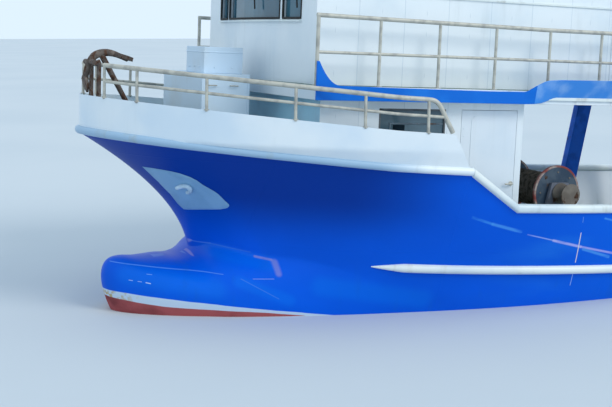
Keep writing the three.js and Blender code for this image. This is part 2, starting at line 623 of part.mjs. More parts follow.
// Sloping box post under the upper deck
const shelterPost = onMainDeck(sidePlate([
  [POST.footX - POST.length / 2, POST.footZ],
  [POST.footX + POST.length / 2, POST.footZ],
  [POST.headX + POST.length / 2, UPPER.under - GAP],
  [POST.headX - POST.length / 2, UPPER.under - GAP],
], POST.y, POST.y + POST.width));

// Trawl winch: two drums on one line across the ship, each with a warping head outboard.
function winchDrum() {
  const { x, z, flange, core, inner, outer, axle, head } = WINCH;
  const profile = [[0, inner - 60], [axle, inner - 60], [axle, inner], [flange, inner], [flange, inner + 40],
    [core + 90, inner + 40], [core + 90, outer - 40], [flange, outer - 40], [flange, outer], [axle, outer],
    [axle, outer + 90], [head, outer + 90], [head * 0.72, outer + 200], [head * 1.1, outer + 330], [0, outer + 330]];
  return turned(profile, x, 0, z, 18);
}

function bore(body, x, z, radius, y0, y1) {
  return body.subtract(rod([x, y0, z], [x, y1, z], radius + 0.8, 24));
}

function winchFrame() {
  const deck = DECK.low;
  const { x, z, outer } = WINCH;
  const cheek = (y0, y1) => sidePlate([[x - 380, deck], [x + 380, deck], [x + 150, z + 150], [x - 150, z + 150]], y0, y1);
  const base = join(
    block(x - 380, x + 380, -outer - 75, outer + 75, deck, deck + 140),
    cheek(-80, 80), cheek(outer + 15, outer + 75), cheek(-outer - 75, -outer - 15),
  );
  return onMainDeck(bore(base, x, z, WINCH.axle, -3000, 3000));
}

// Net drum on two stands
const netProfile = [[0, -NET.half - 90], [NET.axle, -NET.half - 90], [NET.axle, -NET.half], [NET.flange, -NET.half],
  [NET.flange, -NET.half + 40], [NET.wound, -NET.half + 90], [NET.wound * 1.06, 0], [NET.wound, NET.half - 90],
  [NET.flange, NET.half - 40], [NET.flange, NET.half], [NET.axle, NET.half], [NET.axle, NET.half + 90],
  [0, NET.half + 90]];
function netStand() {
  const { x, z, half } = NET;
  const deck = DECK.low;
  const leg = (y0, y1) => sidePlate([[x - 500, deck], [x + 500, deck], [x + 110, z + 120], [x - 110, z + 120]], y0, y1);
  const stand = join(leg(half + 15, half + 85), leg(-half - 85, -half - 15),
    block(x - 500, x - 380, -half - 85, half + 85, deck, deck + 260),
    block(x + 380, x + 500, -half - 85, half + 85, deck, deck + 260));
  return onMainDeck(bore(stand, x, z, NET.axle, -3000, 3000));
}

// Stern gantry
function gantry() {
  const { x, half, top, post } = GANTRY;
  const deck = DECK.low;
  const leg = (side) => block(x - post / 2, x + post / 2, side * half - 90, side * half + 90, deck, top);
  const strut = (side) => rod([x + 1400, side * half, deck], [x, side * half, 3600], 60);
  return onMainDeck(join(
    leg(1), leg(-1), strut(1), strut(-1),
    block(x - 110, x + 110, -half - 90, half + 90, top - 200, top),
    rod([x, -half, 2900], [x, half, 2900], 55),
    sidePlate([[x - 110, top - 200], [x - 420, top - 260], [x - 420, top - 160], [x - 110, top]], 1200, 1260),
    sidePlate([[x - 110, top - 200], [x - 420, top - 260], [x - 420, top - 160], [x - 110, top]], -1260, -1200),
  ));
}

const boardFoot = facetLevel(mainDeck, BOARD.aftX);
const otterBoard = onMainDeck(sidePlate([[BOARD.aftX, boardFoot], [BOARD.foreX - 250, DECK.low],
  [BOARD.foreX, boardFoot + 300], [BOARD.foreX, boardFoot + BOARD.height - 250],
  [BOARD.foreX - 250, boardFoot + BOARD.height], [BOARD.aftX, boardFoot + BOARD.height]],
BOARD.y, BOARD.y + BOARD.thick));

// Fish hold hatch
const coamingTop = DECK.low + COAMING.height;
const coaming = onMainDeck(block(COAMING.aftX, COAMING.foreX, -COAMING.half, COAMING.half, 0, coamingTop))
  .subtract(block(COAMING.aftX + COAMING.wall, COAMING.foreX - COAMING.wall, -COAMING.half + COAMING.wall,
    COAMING.half - COAMING.wall, 0, 3000));
const holdCover = block(COAMING.aftX - 20, COAMING.foreX, -COAMING.half - 20, COAMING.half + 20, coamingTop + GAP,
  coamingTop + COAMING.cover);

// Mast with crosstree, and the boom in its cheeks
const mast = join(
  rod([MAST.x, 0, UPPER.top + GAP], [MAST.x, 0, MAST.top], MAST.foot, 16, MAST.head),
  rod([MAST.x, -900, 6900], [MAST.x, 900, 6900], 40),
  block(MAST.x - 300, MAST.x - 60, 45, 70, BOOM.z - 60, BOOM.z + 60),
  block(MAST.x - 300, MAST.x - 60, -70, -45, BOOM.z - 60, BOOM.z + 60),
  rod([MAST.x - 250, -75, BOOM.z], [MAST.x - 250, 75, BOOM.z], 22, 12),
);
const boomHeel = MAST.x - 250;
const boom = join(
  block(boomHeel - 160, boomHeel + 50, -38, 38, BOOM.z - 55, BOOM.z + 55),
  rod([boomHeel - 120, 0, BOOM.z + 10], [BOOM.tipX, 0, BOOM.tipZ], BOOM.radius, 12, BOOM.radius * 0.7),
).subtract(rod([boomHeel, -80, BOOM.z], [boomHeel, 80, BOOM.z], 22.9, 12));

const funnel = join(
  sidePlate([[FUNNEL.aftX, UPPER.top + GAP], [FUNNEL.foreX, UPPER.top + GAP],
    [FUNNEL.foreX - 180, UPPER.top + FUNNEL.height], [FUNNEL.aftX - 60, UPPER.top + FUNNEL.height - 120]],
  FUNNEL.y0, FUNNEL.y1),
  rod([-120, 1250, UPPER.top + 1200], [-200, 1250, UPPER.top + FUNNEL.height + 420], 85, 12),
);

// Screw and rudder
function screw() {
  const { x, z, radius, hub, length, blades } = SCREW;
  const parts = [rod([x, 0, z], [x - length, 0, z], hub, 16, hub * 0.55)];
  for (let k = 0; k < blades; k += 1) {
    const blade = new THREE.SphereGeometry(1, 8, 6);
    blade.scale(24, 150, radius * 0.5);
    blade.rotateZ(THREE.MathUtils.degToRad(38));
    blade.translate(0, 0, radius * 0.5);
    blade.rotateX((2 * Math.PI * k) / blades);
    parts.push(solid(blade.translate(x - length * 0.45, 0, z)));
  }
  return join(parts);
}

const rudder = join(
  rod([RUDDER.stockX, 0, RUDDER.trunkZ - GAP], [RUDDER.stockX, 0, RUDDER.bottom + 60], 45, 12),
  deckPlate([[RUDDER.foreX, 0], [RUDDER.stockX + 60, RUDDER.thick / 2], [RUDDER.stockX - 80, RUDDER.thick / 2],
    [RUDDER.aftX, 0], [RUDDER.stockX - 80, -RUDDER.thick / 2], [RUDDER.stockX + 60, -RUDDER.thick / 2]],
  RUDDER.bottom, RUDDER.top),
);

// Twin bollards on their foot plate on the forecastle deck
function bollards(x, y) {
  const deck = foreDeck(x);
  return onForeDeck(join(
    block(x - 250, x + 250, y - 90, y + 90, deck - 50, deck + 45),
    rod([x - 140, y, deck], [x - 140, y, deck + 290], 55, 12),
    rod([x + 140, y, deck], [x + 140, y, deck + 290], 55, 12),
  ));
}

// Pieces: [name, body, finish]
const single = [
  ['hull', hull, 'hullBlue'],
  ['bulwark_stern', bulwarkStern, 'hullBlue'],
  ['sheer_moulding', moulding, 'white'],
  ['bulwark_cap_stern', capStern, 'white'],
  ['anchor', anchor, 'rust'],
  ['bow_frame', bowFrame, 'rust'],
  ['foredeck_locker', locker, 'white'],
  ['forepeak_hatch', hatchBox, 'white'],
  ['lower_deckhouse', lowerHouse(), 'white'],
  ['upper_deck', upperDeck, 'hullBlue'],
  ['wheelhouse', bridge(), 'white'],
  ['wheelhouse_roof', roof(), 'white'],
  ['glass_front', glassFront, 'glass'],
  ['winch_frame', winchFrame(), 'steel'],
  ['net_drum_stand', netStand(), 'steel'],
  ['net_drum', turned(netProfile, NET.x, 0, NET.z), 'net'],
  ['stern_gantry', gantry(), 'white'],
  ['hatch_coaming', coaming, 'white'],
  ['hatch_cover', holdCover, 'deckGreen'],
  ['mast', mast, 'white'],
  ['boom', boom, 'white'],
  ['radar_scanner', radarScanner, 'white'],
  ['funnel', funnel, 'hullBlue'],
  ['life_raft', lifeRaft, 'white'],
  ['rudder', rudder, 'hullBlue'],
  ['propeller', screw(), 'bronze'],
];

// Pieces with a twin to starboard: [name, port body, finish]
const paired = [
  ['bulwark', bulwarkPort, 'hullBlue'],
  ['forecastle_bulwark', portHalf(foreShell), 'white'],
  ['bulwark_cap', capPort, 'white'],
  ['rub_rail', rubRail, 'white'],
  ['hawse_plate', hawsePlate, 'plate'],
  ['forecastle_rail', foreRail(), 'galvanised'],
  ['deckhouse_door', sideDoor(LOWER_DOOR, LOWER.half, LOWER.wall), 'white'],
  ['deckhouse_glass', lowerGlass, 'glass'],
  ['fascia', fascia, 'hullBlue'],
  ['upper_rail', upperRail(), 'galvanised'],
  ['glass_side', glassPort, 'glass'],
  ['bridge_door', sideDoor({ ...BRIDGE_DOOR, sill: UPPER.top + BRIDGE_DOOR.sill, top: UPPER.top + BRIDGE_DOOR.top },
    BRIDGE.half, BRIDGE.wall), 'white'],
  ['shelter_post', shelterPost, 'hullBlue'],
  ['aft_post', aftPost, 'hullBlue'],
  ['winch_drum', winchDrum(), 'wire'],
  ['otter_board', otterBoard, 'rust'],
  ['bollards', bollards(8800, 900), 'rust'],
];

const ship = new THREE.Group();
ship.rotation.y = -THREE.MathUtils.degToRad(TRIM_DEG);

function place(name, body, finish) {
  const [color, roughness, metalness] = FINISH[finish];
  const material = new THREE.MeshStandardMaterial({ color, roughness, metalness });
  const mesh = new THREE.Mesh(toGeometry(body), material);
  mesh.name = name;
  ship.add(mesh);
}

for (const [name, body, finish] of single) place(name, body, finish);
for (const [name, body, finish] of paired) {
  place(`${name}_port`, body, finish);
  place(`${name}_starboard`, mirrored(body), finish);
}

const trawler = new THREE.Group();
trawler.add(ship);

export default trawler;
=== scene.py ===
"""Stern trawler with a raked stem over a blunt bulb: its looks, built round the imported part.

Lengths are metres. Shapes are laid out in the ship's own frame (X forward from midship, Y to port,
Z up) and are then turned by the trim into the part's frame, where Z = 0 is the water plane.
"""

import logging
import math
from dataclasses import dataclass, field
from enum import Enum
from functools import cached_property

import bmesh
import bpy
import numpy as np
from mathutils import Matrix, Vector


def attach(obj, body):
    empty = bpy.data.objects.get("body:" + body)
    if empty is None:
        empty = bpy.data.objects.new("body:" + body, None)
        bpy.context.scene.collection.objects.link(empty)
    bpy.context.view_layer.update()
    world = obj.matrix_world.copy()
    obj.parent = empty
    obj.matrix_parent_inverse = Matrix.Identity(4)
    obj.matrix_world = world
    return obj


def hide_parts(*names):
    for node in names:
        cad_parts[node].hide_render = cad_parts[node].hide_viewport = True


log = logging.getLogger("trawler")

TRIM = math.radians(2.5)
TO_PART = Matrix.Rotation(-TRIM, 4, "Y")
Pair = tuple[float, float]
Point = tuple[float, float, float]
Path = tuple[list[Point], float | list[float]]
Socket = bpy.types.NodeSocket

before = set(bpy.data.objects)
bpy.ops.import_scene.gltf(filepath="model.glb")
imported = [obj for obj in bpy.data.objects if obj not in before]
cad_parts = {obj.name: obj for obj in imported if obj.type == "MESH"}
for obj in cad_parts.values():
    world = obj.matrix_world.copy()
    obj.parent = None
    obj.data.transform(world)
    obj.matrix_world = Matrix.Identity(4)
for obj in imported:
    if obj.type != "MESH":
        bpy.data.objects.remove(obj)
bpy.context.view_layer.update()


class Side(Enum):
    """Port or starboard, with the sign of Y there."""

    PORT = 1
    STARBOARD = -1

    def name_of(self, piece: str) -> str:
        """The name of a piece that has a twin on the other side."""
        return f"{piece}_{self.name.lower()}"


class Body(Enum):
    """The moving bodies of the part; those with a twin are named by side."""

    SHIP = "ship"
    PROPELLER = "propeller"
    RUDDER = "rudder"
    WINCH_DRUM = "winch_drum"
    NET_DRUM = "net_drum"
    RADAR = "radar_scanner"
    BOOM = "boom"
    DECKHOUSE_DOOR = "deckhouse_door"
    BRIDGE_DOOR = "bridge_door"
    HOLD_HATCH = "hatch_cover"
    FOREPEAK_HATCH = "forepeak_hatch"


# Finishes


def srgb(code: str) -> tuple[float, float, float, float]:
    """Turns an sRGB hex colour into a linear one.

    Args:
        code: six hex digits.

    Returns:
        Linear red, green and blue, with an alpha of one.
    """
    parts = [int(code[i : i + 2], 16) / 255 for i in (0, 2, 4)]
    linear = [v / 12.92 if v <= 0.04045 else ((v + 0.055) / 1.055) ** 2.4 for v in parts]
    return (*linear, 1.0)


def add(
    tree: bpy.types.NodeTree, kind: str, inputs: dict | None = None, out: int | str = 0, **settings
) -> Socket:
    """Adds a node with its settings, and with its inputs as constants or links.

    Args:
        tree: the tree that gets the node.
        kind: the node's type name.
        inputs: values or output sockets by the name or index of the input.
        out: name or index of the output that is wanted.
        **settings: the node's own properties.

    Returns:
        That output socket of the new node.
    """
    made = tree.nodes.new(kind)
    for name, value in settings.items():
        setattr(made, name, value)
    for key, value in (inputs or {}).items():
        if isinstance(value, Socket):
            tree.links.new(value, made.inputs[key])
        else:
            made.inputs[key].default_value = value
    return made.outputs[out]


def place(name: str, data: bpy.types.ID) -> bpy.types.Object:
    """Puts an object at the origin of the scene.

    Args:
        name: its name.
        data: its mesh, light or camera.

    Returns:
        The object.
    """
    made = bpy.data.objects.new(name, data)
    bpy.context.scene.collection.objects.link(made)
    return made


class Coats:
    """A finish built up in coats, each covering what is under it where its mask says."""

    def __init__(
        self, name: str, colour: str, roughness: float, metallic: float = 0.0, **shader: float
    ) -> None:
        """Starts a material from its bare colour.

        Args:
            name: the material's name.
            colour: sRGB hex of the bare finish.
            roughness: of the bare finish.
            metallic: 0 for paint, rope and rubber, 1 for bare metal.
            **shader: other constant inputs of the shader, with _ for a space.
        """
        self.made = bpy.data.materials.new(name)
        self.made.use_nodes = True
        self.tree = self.made.node_tree
        self.shader = self.tree.nodes["Principled BSDF"]
        self.shader.inputs["Metallic"].default_value = metallic
        self.shader.inputs["Roughness"].default_value = roughness
        for key, value in shader.items():
            self.shader.inputs[key.replace("_", " ")].default_value = value
        spot = add(self.tree, "ShaderNodeTexCoord", out="Object")
        self.spot = add(self.tree, "ShaderNodeMapping", {"Vector": spot, "Rotation": (0, TRIM, 0)})
        self.flat = add(self.tree, "ShaderNodeVectorMath", {0: self.spot, 1: (1, 0, 1)}, operation="MULTIPLY")
        self.xyz = add(self.tree, "ShaderNodeSeparateXYZ", {0: self.spot}).node.outputs
        self.colour = add(self.tree, "ShaderNodeRGB")
        self.colour.default_value = srgb(colour)
        self.shader.inputs["Base Color"].default_value = srgb(colour)
        self.rough = roughness
        self.height = None

    def ramp(self, value: Socket, low: float, high: float) -> Socket:
        """A smooth step of a value: 0 at low and 1 at high, or the other way round if low is higher."""
        inputs = {0: value, 1: min(low, high), 2: max(low, high), 3: float(low > high), 4: float(low < high)}
        return add(self.tree, "ShaderNodeMapRange", inputs, interpolation_type="SMOOTHSTEP")

    def patches(
        self, size_mm: float, low: float, high: float, stretch: Point = (1, 1, 1), detail: float = 4.0
    ) -> Socket:
        """Cloudy patches of about a real size.

        Args:
            size_mm: how far apart the patches are.
            low: noise value where they begin.
            high: noise value where they are full.
            stretch: how many times longer a patch is along X, Y and Z.
            detail: octaves of finer raggedness.

        Returns:
            A mask socket.
        """
        shrunk = tuple(1 / v for v in stretch)
        spot = add(self.tree, "ShaderNodeVectorMath", {0: self.spot, 1: shrunk}, operation="MULTIPLY")
        noise = add(
            self.tree, "ShaderNodeTexNoise", {"Vector": spot, "Scale": 1000 / size_mm, "Detail": detail}
        )
        return self.ramp(noise, low, high)

    def flecks(self, apart_mm: float, size: float, share: float) -> Socket:
        """Separate small chips and spots.

        Args:
            apart_mm: mean distance between the places where a chip may be.
            size: a chip's radius as a share of that distance.
            share: which part of the places has one.

        Returns:
            A mask socket.
        """
        cells = add(
            self.tree, "ShaderNodeTexVoronoi", {"Vector": self.spot, "Scale": 1000 / apart_mm}
        ).node.outputs
        near = self.ramp(cells["Distance"], size, size * 0.5)
        chosen = self.ramp(cells["Color"], 1 - share, 1 - share + 0.02)
        return self.both(near, chosen)

    def both(self, one: Socket, other: Socket | float) -> Socket:
        """A mask that holds where both masks hold."""
        return add(self.tree, "ShaderNodeMath", {0: one, 1: other}, operation="MULTIPLY")

    def joints(self, axis: int, first: float, spacing: float, width: float) -> Socket:
        """Thin lines where plates or boards meet, at even steps along one axis of the ship.

        Args:
            axis: 0 along the ship, 1 across it, 2 up.
            first: where one of the lines is.
            spacing: between the lines.
            width: of a line.

        Returns:
            A mask socket.
        """
        away = add(
            self.tree, "ShaderNodeMath", {0: self.xyz[axis], 1: first - spacing / 2}, operation="SUBTRACT"
        )
        turn = add(self.tree, "ShaderNodeMath", {0: away, 1: spacing}, operation="FLOORED_MODULO")
        off = add(self.tree, "ShaderNodeMath", {0: turn, 1: spacing / 2}, operation="SUBTRACT")
        return self.ramp(add(self.tree, "ShaderNodeMath", {0: off}, operation="ABSOLUTE"), width, 0)

    def stroke(self, start: Pair, end: Pair, width: float) -> Socket:
        """A soft stroke on the port side between two points in X and Z, fading at its edges, for scrapes and
        for painted highlights and reflections.

        Args:
            start: X and Z of one end.
            end: X and Z of the other end.
            width: half its breadth.

        Returns:
            A mask socket.
        """
        run = Vector((end[0] - start[0], 0, end[1] - start[1]))
        foot = (start[0], 0, start[1])
        away = add(self.tree, "ShaderNodeVectorMath", {0: self.flat, 1: foot}, operation="SUBTRACT")
        dot = {0: away, 1: run / max(run.length_squared, 1e-9)}
        share = add(self.tree, "ShaderNodeVectorMath", dot, operation="DOT_PRODUCT", out="Value")
        share = add(self.tree, "ShaderNodeClamp", {0: share})
        along = add(self.tree, "ShaderNodeVectorMath", {0: tuple(run), "Scale": share}, operation="SCALE")
        gap = add(self.tree, "ShaderNodeVectorMath", {0: away, 1: along}, operation="DISTANCE", out="Value")
        return self.both(self.ramp(gap, width, width * 0.25), self.ramp(self.xyz[1], -0.02, 0.02))

    def cover(self, mask: Socket, colour: str, roughness: float | None = None) -> None:
        """Lays another colour, and perhaps another gloss, over the finish where the mask holds.

        Args:
            mask: where the coat goes.
            colour: its sRGB hex.
            roughness: its roughness, if it has its own.
        """
        blend = {0: mask, 6: self.colour, 7: srgb(colour)}
        self.colour = add(self.tree, "ShaderNodeMix", blend, out=2, data_type="RGBA")
        if roughness is not None:
            self.rough = add(self.tree, "ShaderNodeMix", {0: mask, 2: self.rough, 3: roughness})

    def relief(self, mask: Socket, depth_mm: float) -> None:
        """Raises the surface by a depth where the mask holds, or sinks it where the depth is negative."""
        inputs = {0: mask, 1: depth_mm / 1000, 2: self.height or 0.0}
        self.height = add(self.tree, "ShaderNodeMath", inputs, operation="MULTIPLY_ADD")

    def done(self) -> bpy.types.Material:
        """Joins the coats to the shader and gives the material.

        Returns:
            The finished material.
        """
        self.tree.links.new(self.colour, self.shader.inputs["Base Color"])
        if isinstance(self.rough, Socket):
            self.tree.links.new(self.rough, self.shader.inputs["Roughness"])
        if self.height is not None:
            bump = add(self.tree, "ShaderNodeBump", {"Height": self.height, "Distance": 1.0, "Strength": 1.0})
            self.tree.links.new(bump, self.shader.inputs["Normal"])
        return self.made


@dataclass(frozen=True)
class TopsideEnamel:
    """Blue alkyd enamel rolled over welded steel plate, over the pale boot stripe and the red antifouling.

    It gives a deep gloss that is broken by the plates' slow waves, chalky where the sun and the fenders work.
    """

    blue: str = "0060e6"
    deep: str = "003898"
    painted_light_blue: str = "0078ee"
    light: str = "0a86ee"
    chalky: str = "2f90e4"
    stripe: str = "bfd2e4"
    stripe_worn: str = "b7a476"
    antifouling: str = "a85658"
    weathered_red: str = "7c3d40"
    # the stripe's two edges: height at the first station and rise for each metre forward
    stripe_x: float = 8.5
    level_x: float = 5.5
    stripe_top: Pair = (-0.168, 0.071)
    stripe_foot: Pair = (-0.264, 0.012)
    least_stripe: float = 0.04
    nose_x: float = 8.8
    nose_lift: float = 0.09

    def under(self, coats: Coats, edge: Pair) -> Socket:
        """A mask of what is below a slanting edge that runs level aft of the bow.

        Args:
            coats: the finish that is being built.
            edge: the edge's height at the first station and its rise for each metre forward.

        Returns:
            A mask socket with a slightly ragged edge.
        """
        tree = coats.tree
        along = add(tree, "ShaderNodeMath", {0: coats.xyz[0], 1: self.level_x}, operation="MAXIMUM")
        line = {0: along, 1: -edge[1], 2: edge[1] * self.stripe_x - edge[0]}
        drop = add(tree, "ShaderNodeMath", line, operation="MULTIPLY_ADD")
        if edge == self.stripe_foot:
            nose = add(tree, "ShaderNodeMath", {0: coats.xyz[0], 1: self.nose_x}, operation="SUBTRACT")
            nose = add(tree, "ShaderNodeMath", {0: nose, 1: 0.0}, operation="MAXIMUM")
            drop = add(
                tree, "ShaderNodeMath", {0: nose, 1: -self.nose_lift, 2: drop}, operation="MULTIPLY_ADD"
            )
        ragged = add(tree, "ShaderNodeTexNoise", {"Vector": coats.spot, "Scale": 3.0, "Detail": 4.0})
        level = add(tree, "ShaderNodeMath", {0: coats.xyz[2], 1: drop}, operation="ADD")
        level = add(tree, "ShaderNodeMath", {0: ragged, 1: 0.016, 2: level}, operation="MULTIPLY_ADD")
        return coats.ramp(level, 0.012, 0.004)

    def material(self) -> bpy.types.Material:
        """Builds the hull's paint, zoned by height in the ship's frame.

        Returns:
            The finished material.
        """
        coats = Coats("topside_alkyd_enamel", self.blue, 0.38, Specular_IOR_Level=0.1)
        x, _, z = coats.xyz
        # painted shade: the blue darkens up under the sheer towards the bow, where the flare faces down
        coats.cover(coats.both(coats.ramp(z, 0.55, 1.35), coats.ramp(x, 4.9, 6.9)), self.deep)
        coats.cover(coats.both(coats.patches(2600, 0.42, 0.62, (2.5, 1, 1)), 0.3), self.deep)
        # painted light: lighter blue aft, where the side is sunlit, and faintly lighter low down near the
        # water
        coats.cover(coats.both(coats.ramp(x, 5.0, -1.0), 0.7), self.painted_light_blue)
        coats.cover(coats.both(coats.ramp(z, 0.45, -0.15), 0.04), self.painted_light_blue)
        coats.cover(
            coats.both(coats.patches(900, 0.5, 0.72, (4, 1, 1)), coats.ramp(x, 5.5, 1.0)), self.chalky, 0.42
        )
        # painted reflections: pale streaks of reflected light along the side, broken into dashes by this mask
        worn = coats.both(coats.patches(60, 0.25, 0.5, (12, 1, 1), 6), 0.72)
        for start, end, width, colour in PAINTED_REFLECTIONS:
            coats.cover(coats.both(coats.stroke(start, end, width), worn), colour, 0.5)
        for start, end, width in GLINTS:
            coats.cover(coats.both(coats.stroke(start, end, width), 0.2), self.light, 0.36)
        for start, end, width, colour, strength in SCRAPES_AND_HIGHLIGHTS:
            coats.cover(coats.both(coats.stroke(start, end, width), strength), colour, 0.55)
        chips = coats.both(coats.flecks(170, 0.1, 0.1), coats.ramp(x, 7.6, 8.6))
        coats.cover(chips, "7fa9e0", 0.5)
        runs = coats.both(coats.patches(240, 0.56, 0.75, (1, 1, 6)), coats.ramp(z, 0.9, -0.1))
        coats.cover(coats.both(runs, 0.5), "0f5fca", 0.45)
        on_stripe = self.under(coats, self.stripe_top)
        coats.cover(on_stripe, self.stripe, 0.5)
        nose = coats.both(on_stripe, coats.ramp(x, 9.0, 9.4))
        coats.cover(coats.both(nose, coats.patches(90, 0.47, 0.6)), self.stripe_worn, 0.6)
        least = (self.stripe_top[0] - self.least_stripe, self.stripe_top[1])
        below = coats.both(self.under(coats, self.stripe_foot), self.under(coats, least))
        coats.cover(below, self.antifouling, 0.75)
        coats.cover(coats.both(below, coats.patches(420, 0.45, 0.7, (3, 1, 1))), self.weathered_red, 0.8)
        coats.relief(coats.patches(1500, 0.2, 0.8, (1, 1, 1.4), 1.5), 5)
        coats.relief(coats.patches(420, 0.2, 0.8, (1, 1, 1), 2), 0.8)
        coats.relief(coats.joints(0, 0.6, 2.4, 0.012), 1.2)
        coats.relief(coats.joints(2, 0.62, 1.15, 0.01), 0.8)
        return coats.done()


Stroke = tuple[Pair, Pair, float, str]
# painted reflections: pale blue and lilac streaks of reflected light on the blue side
PAINTED_REFLECTIONS: list[Stroke] = [
    ((5.2, 1.12), (4.9, 1.03), 0.026, "3c8fe6"),
    ((4.9, 1.03), (4.47, 0.92), 0.032, "4c9ae8"),
    ((4.36, 0.88), (3.9, 0.78), 0.012, "9fb2ea"),
    ((3.95, 0.79), (3.5, 0.69), 0.026, "bcb9ec"),
    ((3.5, 0.69), (2.85, 0.565), 0.022, "b4b0ea"),
    ((3.45, 0.655), (3.0, 0.53), 0.03, "4f9ae6"),
    ((3.2, 1.09), (2.7, 0.98), 0.02, "4c9ae8"),
]
GLINTS: list[tuple[Pair, Pair, float]] = [
    ((8.1, 0.47), (7.5, 0.36), 0.13),
    ((9.2, 0.12), (8.2, 0.02), 0.2),
    ((7.9, 0.12), (7.3, -0.1), 0.12),
    ((6.9, 0.1), (5.6, -0.05), 0.2),
]
# scrapes and marks on the paint, with painted highlights along two of the bulb's creases
SCRAPES_AND_HIGHLIGHTS: list[tuple[Pair, Pair, float, str, float]] = [
    ((3.56, 1.115), (3.555, 1.04), 0.005, "7fb0e6", 0.8),
    ((3.545, 0.89), (3.52, 0.465), 0.009, "e6dccb", 0.95),
    ((3.512, 0.318), (3.5, 0.12), 0.006, "a9c8ec", 0.9),
    ((8.235, 1.275), (8.215, 1.262), 0.016, "b84a4f", 0.9),
    ((7.652, 0.44), (7.48, 0.415), 0.022, "a79bc9", 0.5),
    ((7.45, 0.39), (7.43, 0.25), 0.055, "8f8fca", 0.55),
    ((7.744, 0.171), (7.493, 0.182), 0.006, "8fa6dc", 0.7),
    # painted highlight along the diagonal fold at the bulb's after end
    ((7.886, 0.164), (7.431, -0.082), 0.008, "4f86dc", 0.6),
    ((9.377, 0.277), (8.92, 0.244), 0.008, "5d95e6", 0.7),
    ((8.92, 0.244), (8.082, 0.204), 0.008, "5d95e6", 0.7),
    ((8.25, 0.529), (8.296, 0.368), 0.022, "a9a3d8", 0.6),
    ((8.783, 0.33), (8.339, 0.364), 0.01, "7fa6e2", 0.5),
    ((9.198, 0.067), (9.16, 0.064), 0.007, "a9c4ee", 0.8),
    ((9.1, 0.06), (9.06, 0.058), 0.006, "a9c4ee", 0.8),
    ((9.01, 0.052), (8.96, 0.045), 0.008, "c9dcf0", 0.9),
    ((8.99, 0.16), (8.93, 0.156), 0.005, "7fb0e6", 0.8),
    # painted highlight along the crease where the bulb's top runs aft from the stem
    ((8.247, 0.527), (8.096, 0.546), 0.014, "5f93e0", 0.5),
    ((8.096, 0.546), (7.702, 0.491), 0.012, "3f7ddb", 0.5),
]


@dataclass(frozen=True)
class WhiteEnamel:
    """White enamel brushed over plate, gone slightly blue-grey in the open.

    It gives a satin face with soft grime under the edges, faint runs and small rusty chips.
    """

    name: str = "white_brushed_enamel"
    white: str = "e6edf2"
    cool: str = "cfdeea"
    grime: str = "9aa6a8"
    rust: str = "8a5f45"
    chips: float = 0.12
    runs: float = 0.6
    joint_x: float | None = None
    forward: str = ""

    def material(self) -> bpy.types.Material:
        """Builds the paint, with plate joints and with painted shade, a blue-grey forward, where it has them.

        Returns:
            The finished material.
        """
        coats = Coats(self.name, self.white, 0.42, Coat_Weight=0.08, Coat_Roughness=0.25)
        coats.cover(coats.patches(1300, 0.38, 0.66), self.cool)
        if self.forward:
            # painted shade: blue-grey forward, where the moulding lies in shade under the flare
            coats.cover(coats.ramp(coats.xyz[0], 5.9, 6.7), self.forward)
        grime = coats.both(coats.patches(130, 0.5, 0.78, (1, 1, 9), 5), self.runs)
        coats.cover(coats.both(grime, coats.patches(900, 0.45, 0.62)), self.grime, 0.6)
        coats.cover(coats.flecks(330, 0.05, self.chips), self.rust, 0.8)
        if self.joint_x is not None:
            side = coats.ramp(coats.xyz[0], 7.29, 7.28)
            seam = coats.both(coats.joints(0, self.joint_x, 0.665, 0.009), side)
            coats.cover(coats.both(seam, 0.4), "9db2c4", 0.6)
            coats.relief(seam, -1.0)
            stitch = coats.both(
                coats.joints(0, self.joint_x + 0.33, 0.665, 0.008), coats.joints(2, 2.93, 0.27, 0.05)
            )
            stitch = coats.both(stitch, side)
            coats.cover(coats.both(stitch, 0.5), "b3c1cc", 0.6)
            coats.relief(stitch, 0.8)
        coats.relief(coats.patches(700, 0.2, 0.8, (1, 1, 1), 1.5), 2.0)
        coats.relief(coats.patches(25, 0.3, 0.7, (1, 1, 4), 2), 0.12)
        return coats.done()


@dataclass(frozen=True)
class WornCoat:
    """An enamel, a bare metal or a moulding of one colour, with worn, rusty and greasy patches.

    It gives a broken gloss: dull where it has rusted, and brighter where hands, rope and chain polish it.
    """

    name: str
    colour: str
    worn: str
    rust: str = "6d4a38"
    rusting: float = 0.5
    roughness: float = 0.5
    metallic: float = 0.0
    specular: float = 0.5
    patch_mm: float = 180
    grit_mm: float = 12
    relief_mm: float = 0.3

    def material(self) -> bpy.types.Material:
        """Builds the finish; rusting is the share of it that has gone.

        Returns:
            The finished material.
        """
        coats = Coats(self.name, self.colour, self.roughness, self.metallic, Specular_IOR_Level=self.specular)
        coats.cover(coats.patches(self.patch_mm, 0.42, 0.68), self.worn, min(0.9, self.roughness + 0.12))
        edge = 0.78 - 0.4 * self.rusting
        rusty = coats.patches(self.patch_mm * 0.6, edge, edge + 0.1, (1, 1, 1.6), 7)
        coats.cover(rusty, self.rust, 0.88)
        coats.cover(coats.both(rusty, coats.patches(self.grit_mm * 2, 0.5, 0.62)), "3c2a22", 0.92)
        coats.relief(coats.patches(self.grit_mm, 0.35, 0.65, (1, 1, 1), 3), self.relief_mm)
        return coats.done()


@dataclass(frozen=True)
class DeckPaint:
    """Green deck paint with sand in it, rolled on.

    It gives a matt, gritty floor, worn pale along the ways people walk.
    """

    def material(self) -> bpy.types.Material:
        """Builds the paint; the 2 mm sand is drawn 9 mm coarse so that it shows.

        Returns:
            The finished material.
        """
        coats = Coats("sanded_deck_paint", "4f6a5f", 0.85)
        coats.cover(coats.patches(900, 0.45, 0.7), "6f8076", 0.8)
        coats.cover(coats.patches(300, 0.62, 0.76, (1, 1, 1), 7), "7b6a58", 0.9)
        coats.relief(coats.patches(9, 0.4, 0.6, (1, 1, 1), 1), 0.5)
        return coats.done()


